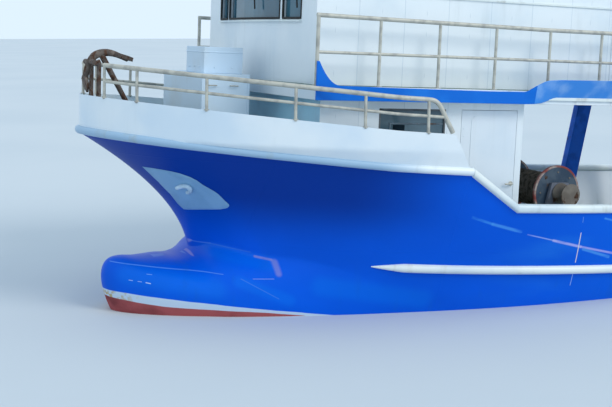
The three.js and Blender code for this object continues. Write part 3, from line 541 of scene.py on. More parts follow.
@dataclass(frozen=True)
class TintedGlass:
    """Float glass with a film of salt, over a dark cabin.

    It gives a dark, slightly green face with a sharp reflection, dulled by dried spray.
    """

    name: str
    colour: str
    salt: str

    def material(self) -> bpy.types.Material:
        """Builds the glass.

        Returns:
            The finished material.
        """
        coats = Coats(self.name, self.colour, 0.06, IOR=1.52)
        coats.cover(coats.patches(500, 0.35, 0.7, (1, 1, 2)), self.salt, 0.16)
        coats.cover(coats.flecks(60, 0.1, 0.2), self.salt, 0.3)
        return coats.done()


@dataclass(frozen=True)
class WoundNet:
    """Braided polyethylene trawl net wound up wet.

    It gives a rough green heap of twine with no gloss, its meshes pulled into long diamonds.
    """

    def material(self) -> bpy.types.Material:
        """Builds the netting; the 4 mm twine is drawn 18 mm thick so that it shows.

        Returns:
            The finished material.
        """
        coats = Coats("braided_net_twine", "2c5d4c", 0.92, Sheen_Weight=0.2)
        coats.cover(coats.patches(220, 0.42, 0.6, (1, 3, 1), 6), "1c3f39", 0.95)
        coats.cover(coats.patches(90, 0.58, 0.7, (1, 2, 1), 6), "5c8a70", 0.9)
        wave = {"Vector": coats.spot, "Scale": 9.0, "Distortion": 6.0, "Detail": 3.0, "Detail Scale": 1.4}
        strands = add(coats.tree, "ShaderNodeTexWave", wave, bands_direction="DIAGONAL", out=1)
        coats.cover(coats.ramp(strands, 0.45, 0.2), "163430", 0.95)
        coats.relief(strands, 9)
        return coats.done()


@dataclass(frozen=True)
class LaidWire:
    """Galvanised steel wire rope, greased.

    It gives dark brown-grey turns with a dull metal glint along the strands.
    """

    def material(self) -> bpy.types.Material:
        """Builds the rope's finish, its lay drawn as slanting strands 12 mm apart.

        Returns:
            The finished material.
        """
        coats = Coats("greased_wire_rope", "5b544b", 0.55, 0.6)
        coats.cover(coats.patches(60, 0.45, 0.62), "3b342d", 0.7)
        wave = {"Vector": coats.spot, "Scale": 26.0, "Distortion": 0.6}
        coats.relief(add(coats.tree, "ShaderNodeTexWave", wave, bands_direction="DIAGONAL", out=1), 1.5)
        return coats.done()


class Paint(Enum):
    """The finishes of the ship."""

    HULL = TopsideEnamel()
    BULWARK = WhiteEnamel("white_bulwark_enamel", "e2eaef", "d0dfeb", chips=0.03, runs=0.1)
    WALL = WhiteEnamel("white_wall_enamel", "e6edf1", "d6e2ea", chips=0.1, runs=0.18, joint_x=5.37)
    WHITE = WhiteEnamel()
    # the moulding's forward blue-grey is painted shade under the bow's flare
    MOULDING = WhiteEnamel("sheer_moulding_enamel", "e2eaef", "d0dfeb", chips=0.1, forward="97b6d0")
    DOOR = WhiteEnamel("white_door_enamel", "dfe7ee", "cfdce7", chips=0.04, runs=0.1)
    TRIM = WhiteEnamel("white_trim_enamel", "e2e9e6", "c6d5de", "8d8a80", chips=0.5, runs=0.5)
    DECK = DeckPaint()
    # painted shade: the blue-grey of white plating standing in the bridge's shadow, on the locker and hatch
    SHADED = WornCoat("blue_grey_wall_enamel", "cde0f0", "cbd9e4", "8d857b", 0.05, 0.5, patch_mm=600)
    # painted shade: a pale sky blue for the deckhouse's front wall, in shade under the upper deck's overhang
    RECESS = WornCoat("sky_blue_wall_enamel", "b4e2f6", "aed2e6", "8d857b", 0.05, 0.5, patch_mm=600)
    BAND = WornCoat("blue_fascia_enamel", "0068cf", "1478dc", "9a7b73", 0.15, 0.4, specular=0.2, patch_mm=700)
    FLARE = WornCoat(
        "sun_faded_blue_enamel", "3f8fe6", "8cb8f0", "a98a80", 0.3, 0.5, specular=0.3, patch_mm=420
    )
    POST = WornCoat("blue_box_section_enamel", "0a66da", "0a58c0", "4b4038", 0.2, 0.45, specular=0.2)
    PIPE = WornCoat("galvanised_pipe", "bdbbb0", "a09f98", "80705f", 0.2, 0.5, 0.15, 0.5, 120, 8, 0.1)
    IRON = WornCoat("rusted_forged_iron", "5b514c", "7c7169", "5c4133", 0.7, 0.8, 0.2, 0.4, 90, 14, 1.2)
    PLATE = WornCoat("grey_blue_plate_enamel", "7fabce", "6f9bbf", "8d6a58", 0.05, 0.45, patch_mm=500)
    LUG = WornCoat("pale_worn_enamel_on_steel", "bed8ea", "9fbacb", "6d4a38", 0.12, 0.45)
    MACHINE = WornCoat("grey_machinery_enamel", "5d6f7c", "46535e", "5e4334", 0.45, 0.5, 0.1)
    DRUM = WornCoat("slate_drum_enamel", "2c4258", "4b5c6c", "5a4436", 0.35, 0.5, 0.1)
    RIM = WornCoat("worn_red_rim_enamel", "8d3a34", "b9b4ac", "5a3a2e", 0.4, 0.55)
    PALE_MACHINE = WornCoat("white_machinery_enamel", "cfd6d8", "a9b2b5", "7a5642", 0.45, 0.5)
    WINCH = WornCoat("grey_winch_enamel", "6c7280", "565d6a", "6a4f42", 0.5, 0.5)
    WORN_HEAD = WornCoat("rope_worn_iron", "7a7168", "8d857c", "5c4436", 0.5, 0.45, 0.5)
    BOARDS = WornCoat("worn_board_steel", "5b4a40", "7b6a5d", "4d3023", 0.75, 0.75, 0.3, 260)
    BRONZE = WornCoat("manganese_bronze", "a67c3e", "7d6a3e", "46604c", 0.3, 0.35, 1.0, 160)
    SOOT = WornCoat("sooted_exhaust_steel", "4a4743", "2a2827", "5e4436", 0.5, 0.75, 0.3)
    RUBBER = WornCoat("black_rubber", "1d1e1f", "2b2c2c", "3a3a38", 0.05, 0.75)
    ZINC = WornCoat("cast_zinc", "a9aeb0", "8b9092", "6f6f6a", 0.2, 0.6, 0.8)
    LAMP = WornCoat("pale_lamp_lens", "dfe6e2", "c8d2d0", "9aa09c", 0.02, 0.15)
    RED_LENS = WornCoat("red_lamp_lens", "a3161b", "8a1418", "5f1013", 0.02, 0.15)
    GREEN_LENS = WornCoat("green_lamp_lens", "0f7a3c", "0d6a35", "0a4a26", 0.02, 0.15)
    RAFT = WornCoat("white_moulded_shell", "e4e8e6", "ccd3d2", "9a8f7f", 0.08, 0.4)
    STRAP = WornCoat("grey_webbing", "5e6468", "4b5054", "3f4043", 0.1, 0.85)
    BRIDGE_GLASS = TintedGlass("tinted_bridge_glass", "2c5568", "3f6a7c")
    HOUSE_GLASS = TintedGlass("salted_window_glass", "3f5662", "566c78")
    # painted shade: a near-black square standing for the dark cabin behind the deckhouse window
    DARK = WornCoat("black_vent_louvre", "0b1a24", "12222c", "1c2226", 0.05, 0.9, specular=0.1)
    NET = WoundNet()
    WIRE = LaidWire()

    @cached_property
    def material(self) -> bpy.types.Material:
        """The material, made once and then shared by the pieces."""
        return self.value.material()


# Geometry Nodes


class Trees:
    """The node trees that follow a path or repeat an item."""

    def __init__(self) -> None:
        """Builds each tree once."""
        self.pipes = self._pipes()
        self.items = self._items()

    @staticmethod
    def _start(name: str, inputs: list[tuple[str, str]]) -> tuple[bpy.types.NodeTree, bpy.types.NodeOutputs]:
        """Starts a tree that takes and gives geometry.

        Args:
            name: the tree's name.
            inputs: the name and socket type of each further input.

        Returns:
            The tree and its inputs as sockets.
        """
        tree = bpy.data.node_groups.new(name, "GeometryNodeTree")
        tree.interface.new_socket("Geometry", in_out="INPUT", socket_type="NodeSocketGeometry")
        for title, kind in inputs:
            tree.interface.new_socket(title, in_out="INPUT", socket_type=kind)
        tree.interface.new_socket("Geometry", in_out="OUTPUT", socket_type="NodeSocketGeometry")
        return tree, add(tree, "NodeGroupInput").node.outputs

    @staticmethod
    def _end(tree: bpy.types.NodeTree, shape: Socket, material: Socket) -> None:
        """Ends a tree in Realize Instances and Set Material.

        Args:
            tree: the tree to end.
            shape: its geometry so far.
            material: what it is painted with.
        """
        real = add(tree, "GeometryNodeRealizeInstances", {0: shape})
        smooth = add(tree, "GeometryNodeSetShadeSmooth", {0: real})
        painted = add(tree, "GeometryNodeSetMaterial", {0: smooth, "Material": material})
        tree.links.new(painted, tree.nodes.new("NodeGroupOutput").inputs[0])

    def _pipes(self) -> bpy.types.NodeTree:
        """Pipes and rods along the edges of a mesh, each point with its own radius.

        Returns:
            The tree.
        """
        inputs = [("Sides", "NodeSocketInt"), ("Wall", "NodeSocketFloat"), ("Material", "NodeSocketMaterial")]
        tree, given = self._start("pipes_along_paths", inputs)
        curve = add(tree, "GeometryNodeMeshToCurve", {0: given[0]})
        bore = add(tree, "GeometryNodeInputNamedAttribute", {0: "bore"}, data_type="FLOAT")
        ring = add(tree, "GeometryNodeCurvePrimitiveCircle", {"Resolution": given[1], "Radius": given[2]})
        tube = add(tree, "GeometryNodeCurveToMesh", {0: curve, 1: ring, "Scale": bore, "Fill Caps": True})
        self._end(tree, tube, given[3])
        return tree

    def _items(self) -> bpy.types.NodeTree:
        """A short many-sided boss at each point, standing along the point's own direction.

        Returns:
            The tree.
        """
        inputs = [
            ("Radius", "NodeSocketFloat"),
            ("Top Radius", "NodeSocketFloat"),
            ("Height", "NodeSocketFloat"),
            ("Sides", "NodeSocketInt"),
            ("Material", "NodeSocketMaterial"),
        ]
        tree, given = self._start("bosses_at_points", inputs)
        sizes = {"Vertices": given[4], "Radius Bottom": given[1], "Radius Top": given[2], "Depth": given[3]}
        boss = add(tree, "GeometryNodeMeshCone", sizes)
        facing = add(tree, "GeometryNodeInputNamedAttribute", {0: "facing"}, data_type="FLOAT_VECTOR")
        turned = add(tree, "FunctionNodeAlignRotationToVector", {"Vector": facing}, axis="Z")
        points = add(tree, "GeometryNodeMeshToPoints", {0: given[0]})
        placed = {"Points": points, "Instance": boss, "Rotation": turned}
        self._end(tree, add(tree, "GeometryNodeInstanceOnPoints", placed), given[5])
        return tree

    @staticmethod
    def grow(tree: bpy.types.NodeTree, seed: bpy.types.Mesh, inputs: dict[str, object]) -> bpy.types.Mesh:
        """Runs a tree on a mesh and gives the plain mesh that it makes.

        Args:
            tree: the tree to run.
            seed: the mesh that it starts from.
            inputs: the tree's inputs by name.

        Returns:
            The finished mesh, with no modifier left.
        """
        holder = place("seed", seed)
        modifier = holder.modifiers.new("grow", "NODES")
        modifier.node_group = tree
        for item in tree.interface.items_tree:
            if item.in_out == "INPUT" and item.name in inputs:
                modifier[item.identifier] = inputs[item.name]
        holder.update_tag()
        bpy.context.view_layer.update()
        ready = holder.evaluated_get(bpy.context.evaluated_depsgraph_get())
        mesh = bpy.data.meshes.new_from_object(ready)
        bpy.data.objects.remove(holder)
        bpy.data.meshes.remove(seed)
        return mesh


# Shapes


def even_angles(count: int) -> np.ndarray:
    """Angles at even steps round a circle."""
    return np.linspace(0, 2 * math.pi, count, endpoint=False)


# radius that stands for the axis itself in a turned profile
LEAST_BORE = 1e-4


def ring_of(inner: float, outer: float, low: float, high: float) -> list[Pair]:
    """The profile of a plain ring, or of a plain cylinder where the inner radius is 0."""
    return [(inner, low), (outer, low), (outer, high), (inner, high)]


@dataclass
class Shape:
    """A piece in the making, in the ship's frame."""

    name: str
    paints: tuple[Paint, ...]
    trees: Trees
    made: list[bpy.types.Object]
    mesh: bmesh.types.BMesh = field(default_factory=bmesh.new)

    def skin(
        self, rows: np.ndarray | list, paint: int = 0, around: bool = False, capped: bool = False
    ) -> list:
        """Lays quads over a grid of points.

        Args:
            rows: points by row and column.
            paint: index of the paint.
            around: joins the last column to the first.
            capped: closes the first and last row with a face.

        Returns:
            The grid's vertices by row.
        """
        grid = [[self.mesh.verts.new(p) for p in row] for row in rows]
        count = len(grid[0])
        for lower, upper in zip(grid, grid[1:]):
            for k in range(count if around else count - 1):
                after = (k + 1) % count
                self.mesh.faces.new((lower[k], lower[after], upper[after], upper[k])).material_index = paint
        if capped:
            self.mesh.faces.new(grid[0][::-1]).material_index = paint
            self.mesh.faces.new(grid[-1]).material_index = paint
        return grid

    def box(self, low: Point, high: Point, paint: int = 0) -> None:
        """A block between two corners.

        Args:
            low: the corner with the least coordinates.
            high: the opposite corner.
            paint: index of the paint.
        """
        (x0, y0, z0), (x1, y1, z1) = low, high
        ring = [(x0, y0), (x1, y0), (x1, y1), (x0, y1)]
        self.skin(np.array([[(x, y, z) for x, y in ring] for z in (z0, z1)]), paint, True, True)

    def plate(self, outline: list[Pair], y0: float, y1: float, paint: int = 0) -> None:
        """An outline in X and Z, given thickness across the ship."""
        self.skin(np.array([[(x, y, z) for x, z in outline] for y in (y0, y1)]), paint, True, True)

    def turned(
        self, profile: list[Pair], at: Point, along: Point, sides: int = 48, paint: int = 0,
        closed: bool = False
    ) -> None:
        """A lathe-turned form.

        Args:
            profile: radius and distance along the axis, from one end to the other.
            at: a point on the axis.
            along: the axis.
            sides: number of sides.
            paint: index of the paint.
            closed: joins the profile's ends into a ring round the axis.
        """
        turn = Vector(along).to_track_quat("Z", "Y").to_matrix()
        rows = []
        for radius, distance in profile:
            bore = max(radius, LEAST_BORE)
            ring = [Vector((bore * math.cos(a), bore * math.sin(a), distance)) for a in even_angles(sides)]
            rows.append([tuple(Vector(at) + turn @ p) for p in ring])
        if closed:
            rows.append(rows[0])
        self.skin(np.array(rows), paint, True, not closed)

    def rod(self, start: Point, end: Point, radius: float, paint: int = 0) -> None:
        """A straight round bar between two points."""
        run = Vector(end) - Vector(start)
        self.turned([(radius, 0), (radius, run.length)], start, tuple(run), 20, paint)

    def take(self) -> None:
        """Takes over a copy of its CAD node's solid, the loose triangles joined and the flats made whole."""
        copy = bmesh.new()
        copy.from_mesh(bpy.data.objects[self.name].data)
        copy.transform(TO_PART.inverted())
        bmesh.ops.remove_doubles(copy, verts=copy.verts, dist=2e-5)
        bmesh.ops.dissolve_limit(copy, angle_limit=math.radians(0.6), verts=copy.verts, edges=copy.edges)
        spare = bpy.data.meshes.new("copy")
        copy.to_mesh(spare)
        copy.free()
        self.join(spare)

    def join(self, other: bpy.types.Mesh, paint: int = 0) -> None:
        """Joins a spare mesh to the piece and removes it.

        Args:
            other: the mesh.
            paint: index of the paint.
        """
        first = len(self.mesh.faces)
        self.mesh.from_mesh(other)
        self.mesh.faces.ensure_lookup_table()
        for face in self.mesh.faces[first:]:
            face.material_index = paint
        bpy.data.meshes.remove(other)

    def pipes(self, paths: list[Path], sides: int = 14, paint: int = 0) -> None:
        """Grows pipes along paths.

        Args:
            paths: the points of each pipe and its radius, or one radius for each point.
            sides: sides of a pipe.
            paint: index of the paint.
        """
        points, edges, bores = [], [], []
        for path, radius in paths:
            first = len(points)
            points += [tuple(p) for p in path]
            edges += [(first + k, first + k + 1) for k in range(len(path) - 1)]
            bores += list(radius) if isinstance(radius, (list, np.ndarray)) else [radius] * len(path)
        seed = bpy.data.meshes.new("paths")
        seed.from_pydata(points, edges, [])
        seed.attributes.new("bore", "FLOAT", "POINT").data.foreach_set("value", np.array(bores, np.float32))
        self.join(self.trees.grow(self.trees.pipes, seed, {"Sides": sides, "Wall": 1.0}), paint)

    def bosses(
        self,
        spots: list[tuple[Point, Point]],
        radius: float,
        height: float,
        sides: int = 6,
        top: float | None = None,
        paint: int = 0,
    ) -> None:
        """Grows bolt heads, feet and knobs at given spots.

        Args:
            spots: the place and the direction of each.
            radius: at the foot.
            height: of each.
            sides: number of sides.
            top: radius at the top, if not the same.
            paint: index of the paint.
        """
        seed = bpy.data.meshes.new("spots")
        seed.from_pydata([spot for spot, _ in spots], [], [])
        facing = np.array([direction for _, direction in spots], np.float32).ravel()
        seed.attributes.new("facing", "FLOAT_VECTOR", "POINT").data.foreach_set("vector", facing)
        sizes = {
            "Radius": radius, "Top Radius": radius if top is None else top, "Height": height, "Sides": sides
        }
        self.join(self.trees.grow(self.trees.items, seed, sizes), paint)

    def finish(
        self,
        body: str = Body.SHIP.value,
        replaces: tuple[str, ...] = (),
        bevel: float = 0.0,
        smooth: float = 35.0,
        slot: str = "",
    ) -> None:
        """Turns the shape into a finished piece in the part's frame, riding on its body.

        Args:
            body: the body it rides on.
            replaces: the CAD nodes that it stands for, if not just the one of its own name.
            bevel: width of its rounded edges, or none.
            smooth: angle in degrees above which an edge stays sharp.
            slot: not used.
        """
        work = self.mesh
        bmesh.ops.remove_doubles(work, verts=work.verts, dist=1e-5)
        bmesh.ops.dissolve_degenerate(work, edges=work.edges, dist=1e-6)
        bmesh.ops.recalc_face_normals(work, faces=work.faces)
        work.transform(TO_PART)
        data = bpy.data.meshes.new(self.name)
        work.to_mesh(data)
        work.free()
        for paint in self.paints:
            data.materials.append(paint.material)
        data.polygons.foreach_set("use_smooth", [True] * len(data.polygons))
        data.set_sharp_from_angle(angle=math.radians(smooth))
        replaces = replaces or tuple({self.name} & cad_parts.keys())
        piece = place(self.name, data)
        if bevel > 0:
            edge = piece.modifiers.new("edges", "BEVEL")
            edge.width = bevel
            edge.segments = 2
            edge.limit_method = "ANGLE"
            edge.angle_limit = math.radians(40)
            edge.harden_normals = True
        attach(piece, body)
        if replaces:
            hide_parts(*replaces)
        self.made.append(piece)


@dataclass
class Assembly:
    """A group of pieces that are built together."""

    trees: Trees
    made: list[bpy.types.Object] = field(default_factory=list)

    def start(self, name: str, *paints: Paint) -> Shape:
        """Starts a piece; its faces name a paint by its place among these."""
        return Shape(name, paints, self.trees, self.made)


def smooth_path(points: list[Point], steps: int = 8) -> list[Point]:
    """A smooth curve through points, as even short steps.

    Args:
        points: the points it passes through.
        steps: steps between two points.

    Returns:
        The points of the finer path.
    """
    spots = np.array(points, float)
    knots = np.concatenate([[0], np.cumsum(np.linalg.norm(np.diff(spots, axis=0), axis=1) ** 0.5)])
    slopes = np.gradient(spots, knots, axis=0)
    fine = []
    for k in range(len(spots) - 1):
        span = knots[k + 1] - knots[k]
        for t in np.linspace(0, 1, steps, endpoint=False):
            a, b = 1 + t * t * (2 * t - 3), t * t * (3 - 2 * t)
            c, d = t * (1 - t) ** 2 * span, t * t * (t - 1) * span
            fine.append(tuple(a * spots[k] + b * spots[k + 1] + c * slopes[k] + d * slopes[k + 1]))
    return [*fine, tuple(spots[-1])]


def smooth_corners(points: list[Point], radius: float, steps: int = 5) -> list[Point]:
    """A path of straight runs with its corners rounded.

    Args:
        points: the corners, with the two ends.
        radius: how far before and after a corner the bend is.
        steps: steps in a bend.

    Returns:
        The points of the bent path.
    """
    spots = [Vector(p) for p in points]
    path = [tuple(spots[0])]
    for before, corner, after in zip(spots, spots[1:], spots[2:]):
        start = corner + (before - corner).normalized() * radius
        end = corner + (after - corner).normalized() * radius
        for t in np.linspace(0, 1, steps + 1):
            path.append(tuple(start * (1 - t) ** 2 + corner * 2 * t * (1 - t) + end * t * t))
    return [*path, tuple(spots[-1])]


# Hull form


@dataclass(frozen=True)
class HullLines:
    """The lines of the hull: levels along it, and its half-breadth at any station and height."""

    stern: float = -9.3
    nose: float = 9.47
    stem: float = 9.79
    fore_x: float = 5.36
    fore_z: float = 1.745
    knee_x: float = 6.4
    knee_z: float = 1.788
    cap_x: float = 4.6
    bulwark: float = 0.82
    turn: float = -0.35
    wall: float = 0.04
    # bulb sections: distance behind the nose, half-breadth, top, widest, keel, squareness of the shoulder
    bulb_rows: tuple[tuple[float, ...], ...] = (
        (0, 0, 0.07, 0.07, 0.07, 2.4),
        (0.03, 0.12, 0.222, 0.04, -0.13, 2.4),
        (0.1, 0.225, 0.298, 0.02, -0.33, 2.4),
        (0.25, 0.37, 0.335, 0, -0.6, 2.4),
        (0.5, 0.575, 0.322, -0.03, -0.85, 2.5),
        (0.8, 0.77, 0.338, -0.05, -1.03, 2.4),
        (1.12, 0.945, 0.36, -0.08, -1.17, 2.2),
        (1.18, 0.975, 0.39, -0.09, -1.19, 2.0),
        (1.26, 1.02, 0.45, -0.095, -1.21, 1.9),
        (1.36, 1.075, 0.56, -0.1, -1.23, 1.9),
        (1.85, 1.29, 0.6, -0.1, -1.32, 3.2),
        (2.4, 1.49, 0.65, -0.12, -1.38, 5),
        (3.0, 1.68, 0.56, -0.15, -1.42, 5),
        (3.9, 1.85, 0.2, -0.25, -1.45, 5),
        (4.7, 1.96, -0.1, -0.35, -1.46, 5),
        (6.2, 1.75, -0.5, -0.6, -1.4, 5),
    )

    def main_deck(self, x: np.ndarray) -> np.ndarray:
        """Height of the main deck."""
        away = np.asarray(x) + 1.0
        return 0.35 + np.where(away > 0, 0.014 * away, 0.011 * away**2)

    def fore_deck(self, x: np.ndarray) -> np.ndarray:
        """Height of the forecastle deck: a flatter run aft, then the sheer of the bow."""
        aft = np.interp(x, (self.fore_x, self.knee_x), (self.fore_z, self.knee_z))
        return aft + 0.076 * np.maximum(0, np.asarray(x) - self.knee_x)

    def side_top(self, x: np.ndarray) -> np.ndarray:
        """Height of the blue side's upper edge: bulwark, the slope, then the forecastle deck.

        Args:
            x: stations.

        Returns:
            Its height at each.
        """
        cap = self.main_deck(np.minimum(x, self.cap_x)) + self.bulwark
        share = np.clip((np.asarray(x) - self.cap_x) / (self.fore_x - self.cap_x), 0, 1)
        return np.where(np.asarray(x) >= self.fore_x, self.fore_deck(x), cap + (self.fore_z - cap) * share)

    def stem_at(self, z: np.ndarray) -> np.ndarray:
        """Station of the stem at a height."""
        return np.minimum(self.stem, 8.22 + 0.5836 * np.maximum(0, np.asarray(z) - 0.3) ** 1.853)

    def upper_half(self, x: np.ndarray, z: np.ndarray) -> np.ndarray:
        """Half-breadth of the raked upper body.

        Args:
            x: stations.
            z: heights.

        Returns:
            The half-breadth at each.
        """
        up = np.maximum(z, self.turn) - self.turn
        full = 2.3 + 0.55 * (1 - np.exp(-up))
        back = np.clip((self.stem_at(z) - x) / (7.0 - 0.4 * (np.asarray(z) - self.turn)), 0, 1)
        aft = 1 - 0.12 * np.maximum(0, (-3.0 - np.asarray(x)) / 6.3) ** 2
        return full * aft * (1 - (1 - back) ** 2.6) ** 0.62

    def keel(self, x: np.ndarray) -> np.ndarray:
        """Height of the keel line under the upper body."""
        fore = -1.47 + 0.97 * np.clip((np.asarray(x) - 5) / 3.2, 0, 1.2) ** 1.5
        return fore + 1.07 * np.maximum(0, (-3.0 - np.asarray(x)) / 6.3) ** 1.4

    def bulb(self, x: np.ndarray) -> list[np.ndarray]:
        """Half-breadth, top, widest level, keel and squareness of the bulb's section at each station.

        Args:
            x: stations.

        Returns:
            The five measures, each with a value for every station.
        """
        rows = np.array(self.bulb_rows)
        knots = np.sqrt(rows[:, 0])
        at = np.sqrt(np.clip(self.nose - np.asarray(x), 0, rows[-1, 0]))
        k = np.clip(np.searchsorted(knots, at) - 1, 0, len(knots) - 2)
        span = knots[k + 1] - knots[k]
        t = (at - knots[k]) / span
        found = []
        for column in range(1, rows.shape[1]):
            values = rows[:, column]
            slopes = np.gradient(values, knots)
            curve = (1 + t * t * (2 * t - 3)) * values[k] + t * t * (3 - 2 * t) * values[k + 1]
            found.append(curve + span * (t * (1 - t) ** 2 * slopes[k] + t * t * (t - 1) * slopes[k + 1]))
        return found

    def half(self, x: np.ndarray, z: np.ndarray) -> np.ndarray:
        """Half-breadth of the whole hull, the bulb faired into the upper body.

        Args:
            x: stations.
            z: heights.

        Returns:
            The half-breadth at each.
        """
        x, z = np.broadcast_arrays(np.asarray(x, float), np.asarray(z, float))
        keel = self.keel(x)
        share = np.clip((self.turn - z) / np.maximum(self.turn - keel, 0.01), 0, 1)
        body = self.upper_half(x, z) * (1 - share**2.4) ** 0.8
        wide, top, widest, foot, square = self.bulb(x)
        up = np.clip((z - widest) / np.maximum(top - widest, 1e-4), 0, 1)
        down = np.clip((widest - z) / np.maximum(widest - foot, 1e-4), 0, 1)
        bulb = wide * (1 - up**square) ** 0.5 * (1 - down**2) ** 0.62
        bulb = np.where(x < self.nose - self.bulb_rows[-1][0], 0, bulb)
        soft = 0.16 * np.clip(np.maximum(body, bulb) / 0.45, 1e-3, 1)
        near = np.maximum(soft - np.abs(body - bulb), 0) / soft
        return np.maximum(body, bulb) + near * near * soft / 4

    def crotch(self) -> float:
        """Station where the stem runs into the top of the bulb.

        Returns:
            The station.
        """
        x = 8.23
        for _ in range(12):
            x = float(self.stem_at(self.bulb(np.array(x))[1]))
        return x


LINES = HullLines()


@dataclass
class HullPlating(Assembly):
    """The steel hull: its plated sides, the bulb, the bulwarks that carry the sides on, and the decks."""

    skeg_half: float = 0.06
    shoe: float = -1.9
    shelf: tuple[Pair, ...] = (
        (-9.3, 0.25), (0, 0.25), (4, 0.33), (6.4, 0.39), (7.21, 0.41), (7.57, 0.42), (7.76, 0.44),
        (8.02, 0.5), (8.14, 0.52),
    )

    def topsides(self) -> np.ndarray:
        """Grid of the port side from the shelf line up to the top edge, stern to stem.

        Returns:
            Points by row, upwards, and by station.
        """
        aft = np.concatenate(
            [[LINES.stern], np.linspace(-9.26, LINES.cap_x, 56), np.linspace(4.6, LINES.fore_x, 9)[1:]]
        )
        bow = np.concatenate([np.zeros(len(aft)), 1 - (1 - np.linspace(0, 1, 71)[1:]) ** 1.6])
        base = np.concatenate([aft, np.full(70, LINES.fore_x)])
        crotch = LINES.crotch()
        levels, heights = zip(*self.shelf)
        levels, heights = [*levels, crotch], [*heights, float(LINES.bulb(np.array(crotch))[1])]
        foot_x = base + (crotch - LINES.fore_x) * bow
        foot = np.interp(foot_x, levels, heights)
        top = LINES.side_top(base)
        for _ in range(8):
            top = LINES.side_top(base + (LINES.stem_at(top) - LINES.fore_x) * bow)
        rows = []
        for w in np.linspace(0, 1, 40) ** 1.25:
            z = foot + (top - foot) * w
            x = base + (LINES.stem_at(z) - LINES.fore_x) * bow if w > 0 else foot_x
            y = LINES.half(x, z)
            y[-1] = 0
            rows.append(np.stack([x, y, z], axis=1))
        return np.array(rows)

    def lower(self, edge: np.ndarray) -> np.ndarray:
        """Grid of the port side from the shelf line down to the keel, stern to the bulb's nose.

        Args:
            edge: points of the shelf line.

        Returns:
            Points by row, downwards, and by station.
        """
        crotch = LINES.crotch()
        fore = LINES.nose - np.linspace(math.sqrt(LINES.nose - crotch), 0, 46)[1:] ** 2
        x = np.concatenate([edge[:, 0], fore])
        _, top, _, foot, _ = LINES.bulb(x)
        keel = LINES.keel(x)
        ends = LINES.nose - LINES.bulb_rows[-1][0]
        bottom = np.where(x > 8.1, foot, np.where(x < ends, keel, np.minimum(keel, foot)))
        start = np.concatenate([edge[:, 2], top[len(edge) :]])
        rows = [np.stack([x, np.concatenate([edge[:, 1], np.zeros(len(fore))]), start], axis=1)]
        for v in np.linspace(0, 1, 56)[1:]:
            z = start + (bottom - start) * (1 - math.cos(math.pi * v)) / 2
            y = LINES.half(x, z) if v < 1 else np.zeros(len(x))
            y[-1] = 0
            rows.append(np.stack([x, y, z], axis=1))
        return np.array(rows)

    def inner(self, edge: np.ndarray) -> np.ndarray:
        """Rows of the bulwark's top, its inner face and the decks, from the side's top edge to the centre.

        Args:
            edge: points of the side's top edge.

        Returns:
            Points by station, then inwards.
        """
        lists = []
        for k, (x, y, z) in enumerate(edge):
            level = float(LINES.main_deck(x))
            plain = x >= LINES.fore_x - 1e-6 or k == 0
            raised = [(x, max(y - LINES.wall, 0), z)] * 2 + [(x, y * 0.5, z), (x, 0, z)]
            inside = float(LINES.half(x, level)) - LINES.wall
            sunk = [
                (x, max(y - LINES.wall, 0), z), (x, inside, level), (x, inside * 0.5, level), (x, 0, level)
            ]
            if k == 1 or abs(x - LINES.fore_x) < 1e-6:
                lists += [[(x, y, z), *first] for first in ((raised, sunk) if k == 1 else (sunk, raised))]
            else:
                lists.append([(x, y, z), *(raised if plain else sunk)])
        return np.array(lists)

    def build(self) -> None:
        """Builds the hull with its bulwarks, decks, skeg, stern tube and rudder trunk."""
        shape = self.start("hull", Paint.HULL, Paint.DECK, Paint.WHITE)
        side = self.topsides()
        below = self.lower(side[0])
        tops = self.inner(side[-1])
        for sign in (1, -1):
            flip = np.array([1, sign, 1])
            shape.skin(side * flip)
            shape.skin(below * flip)
            grid = np.swapaxes(tops, 0, 1) * flip
            shape.skin(grid[:2])
            shape.skin(grid[1:3], 2)
            shape.skin(grid[2:], 1)
        bmesh.ops.remove_doubles(shape.mesh, verts=shape.mesh.verts, dist=1e-5)
        transom = [
            e for e in shape.mesh.edges if e.is_boundary and all(v.co.x < LINES.stern + 1e-4 for v in e.verts)
        ]
        for face in bmesh.ops.contextual_create(shape.mesh, geom=transom)["faces"]:
            face.material_index = 0
        half = self.skeg_half
        shape.plate(
            [(-7.2, -0.9), (-7.2, self.shoe), (-2.6, self.shoe), (-1.5, -1.46), (-1.5, -1.32)], -half, half
        )
        shape.rod((-6.9, 0, -1.38), (-7.4797, 0, -1.38), 0.11)
        shape.rod((-8.35, 0, -0.3), (-8.35, 0, -0.68), 0.09)
        nodes = ("hull", "bulwark_port", "bulwark_starboard", "bulwark_stern")
        shape.finish(replaces=nodes, smooth=38, slot="hull_blue")
        self.anodes()

    def anodes(self) -> None:
        """Bolts zinc anodes to the skeg."""
        shape = self.start("skeg_anodes", Paint.ZINC)
        for x in (-6.6, -5.6, -4.6):
            for side in (-1, 1):
                y = side * self.skeg_half
                low, high = sorted((y, y + side * 0.025))
                shape.box((x - 0.15, low, -1.66), (x + 0.15, high, -1.6))
        shape.finish(bevel=0.006)


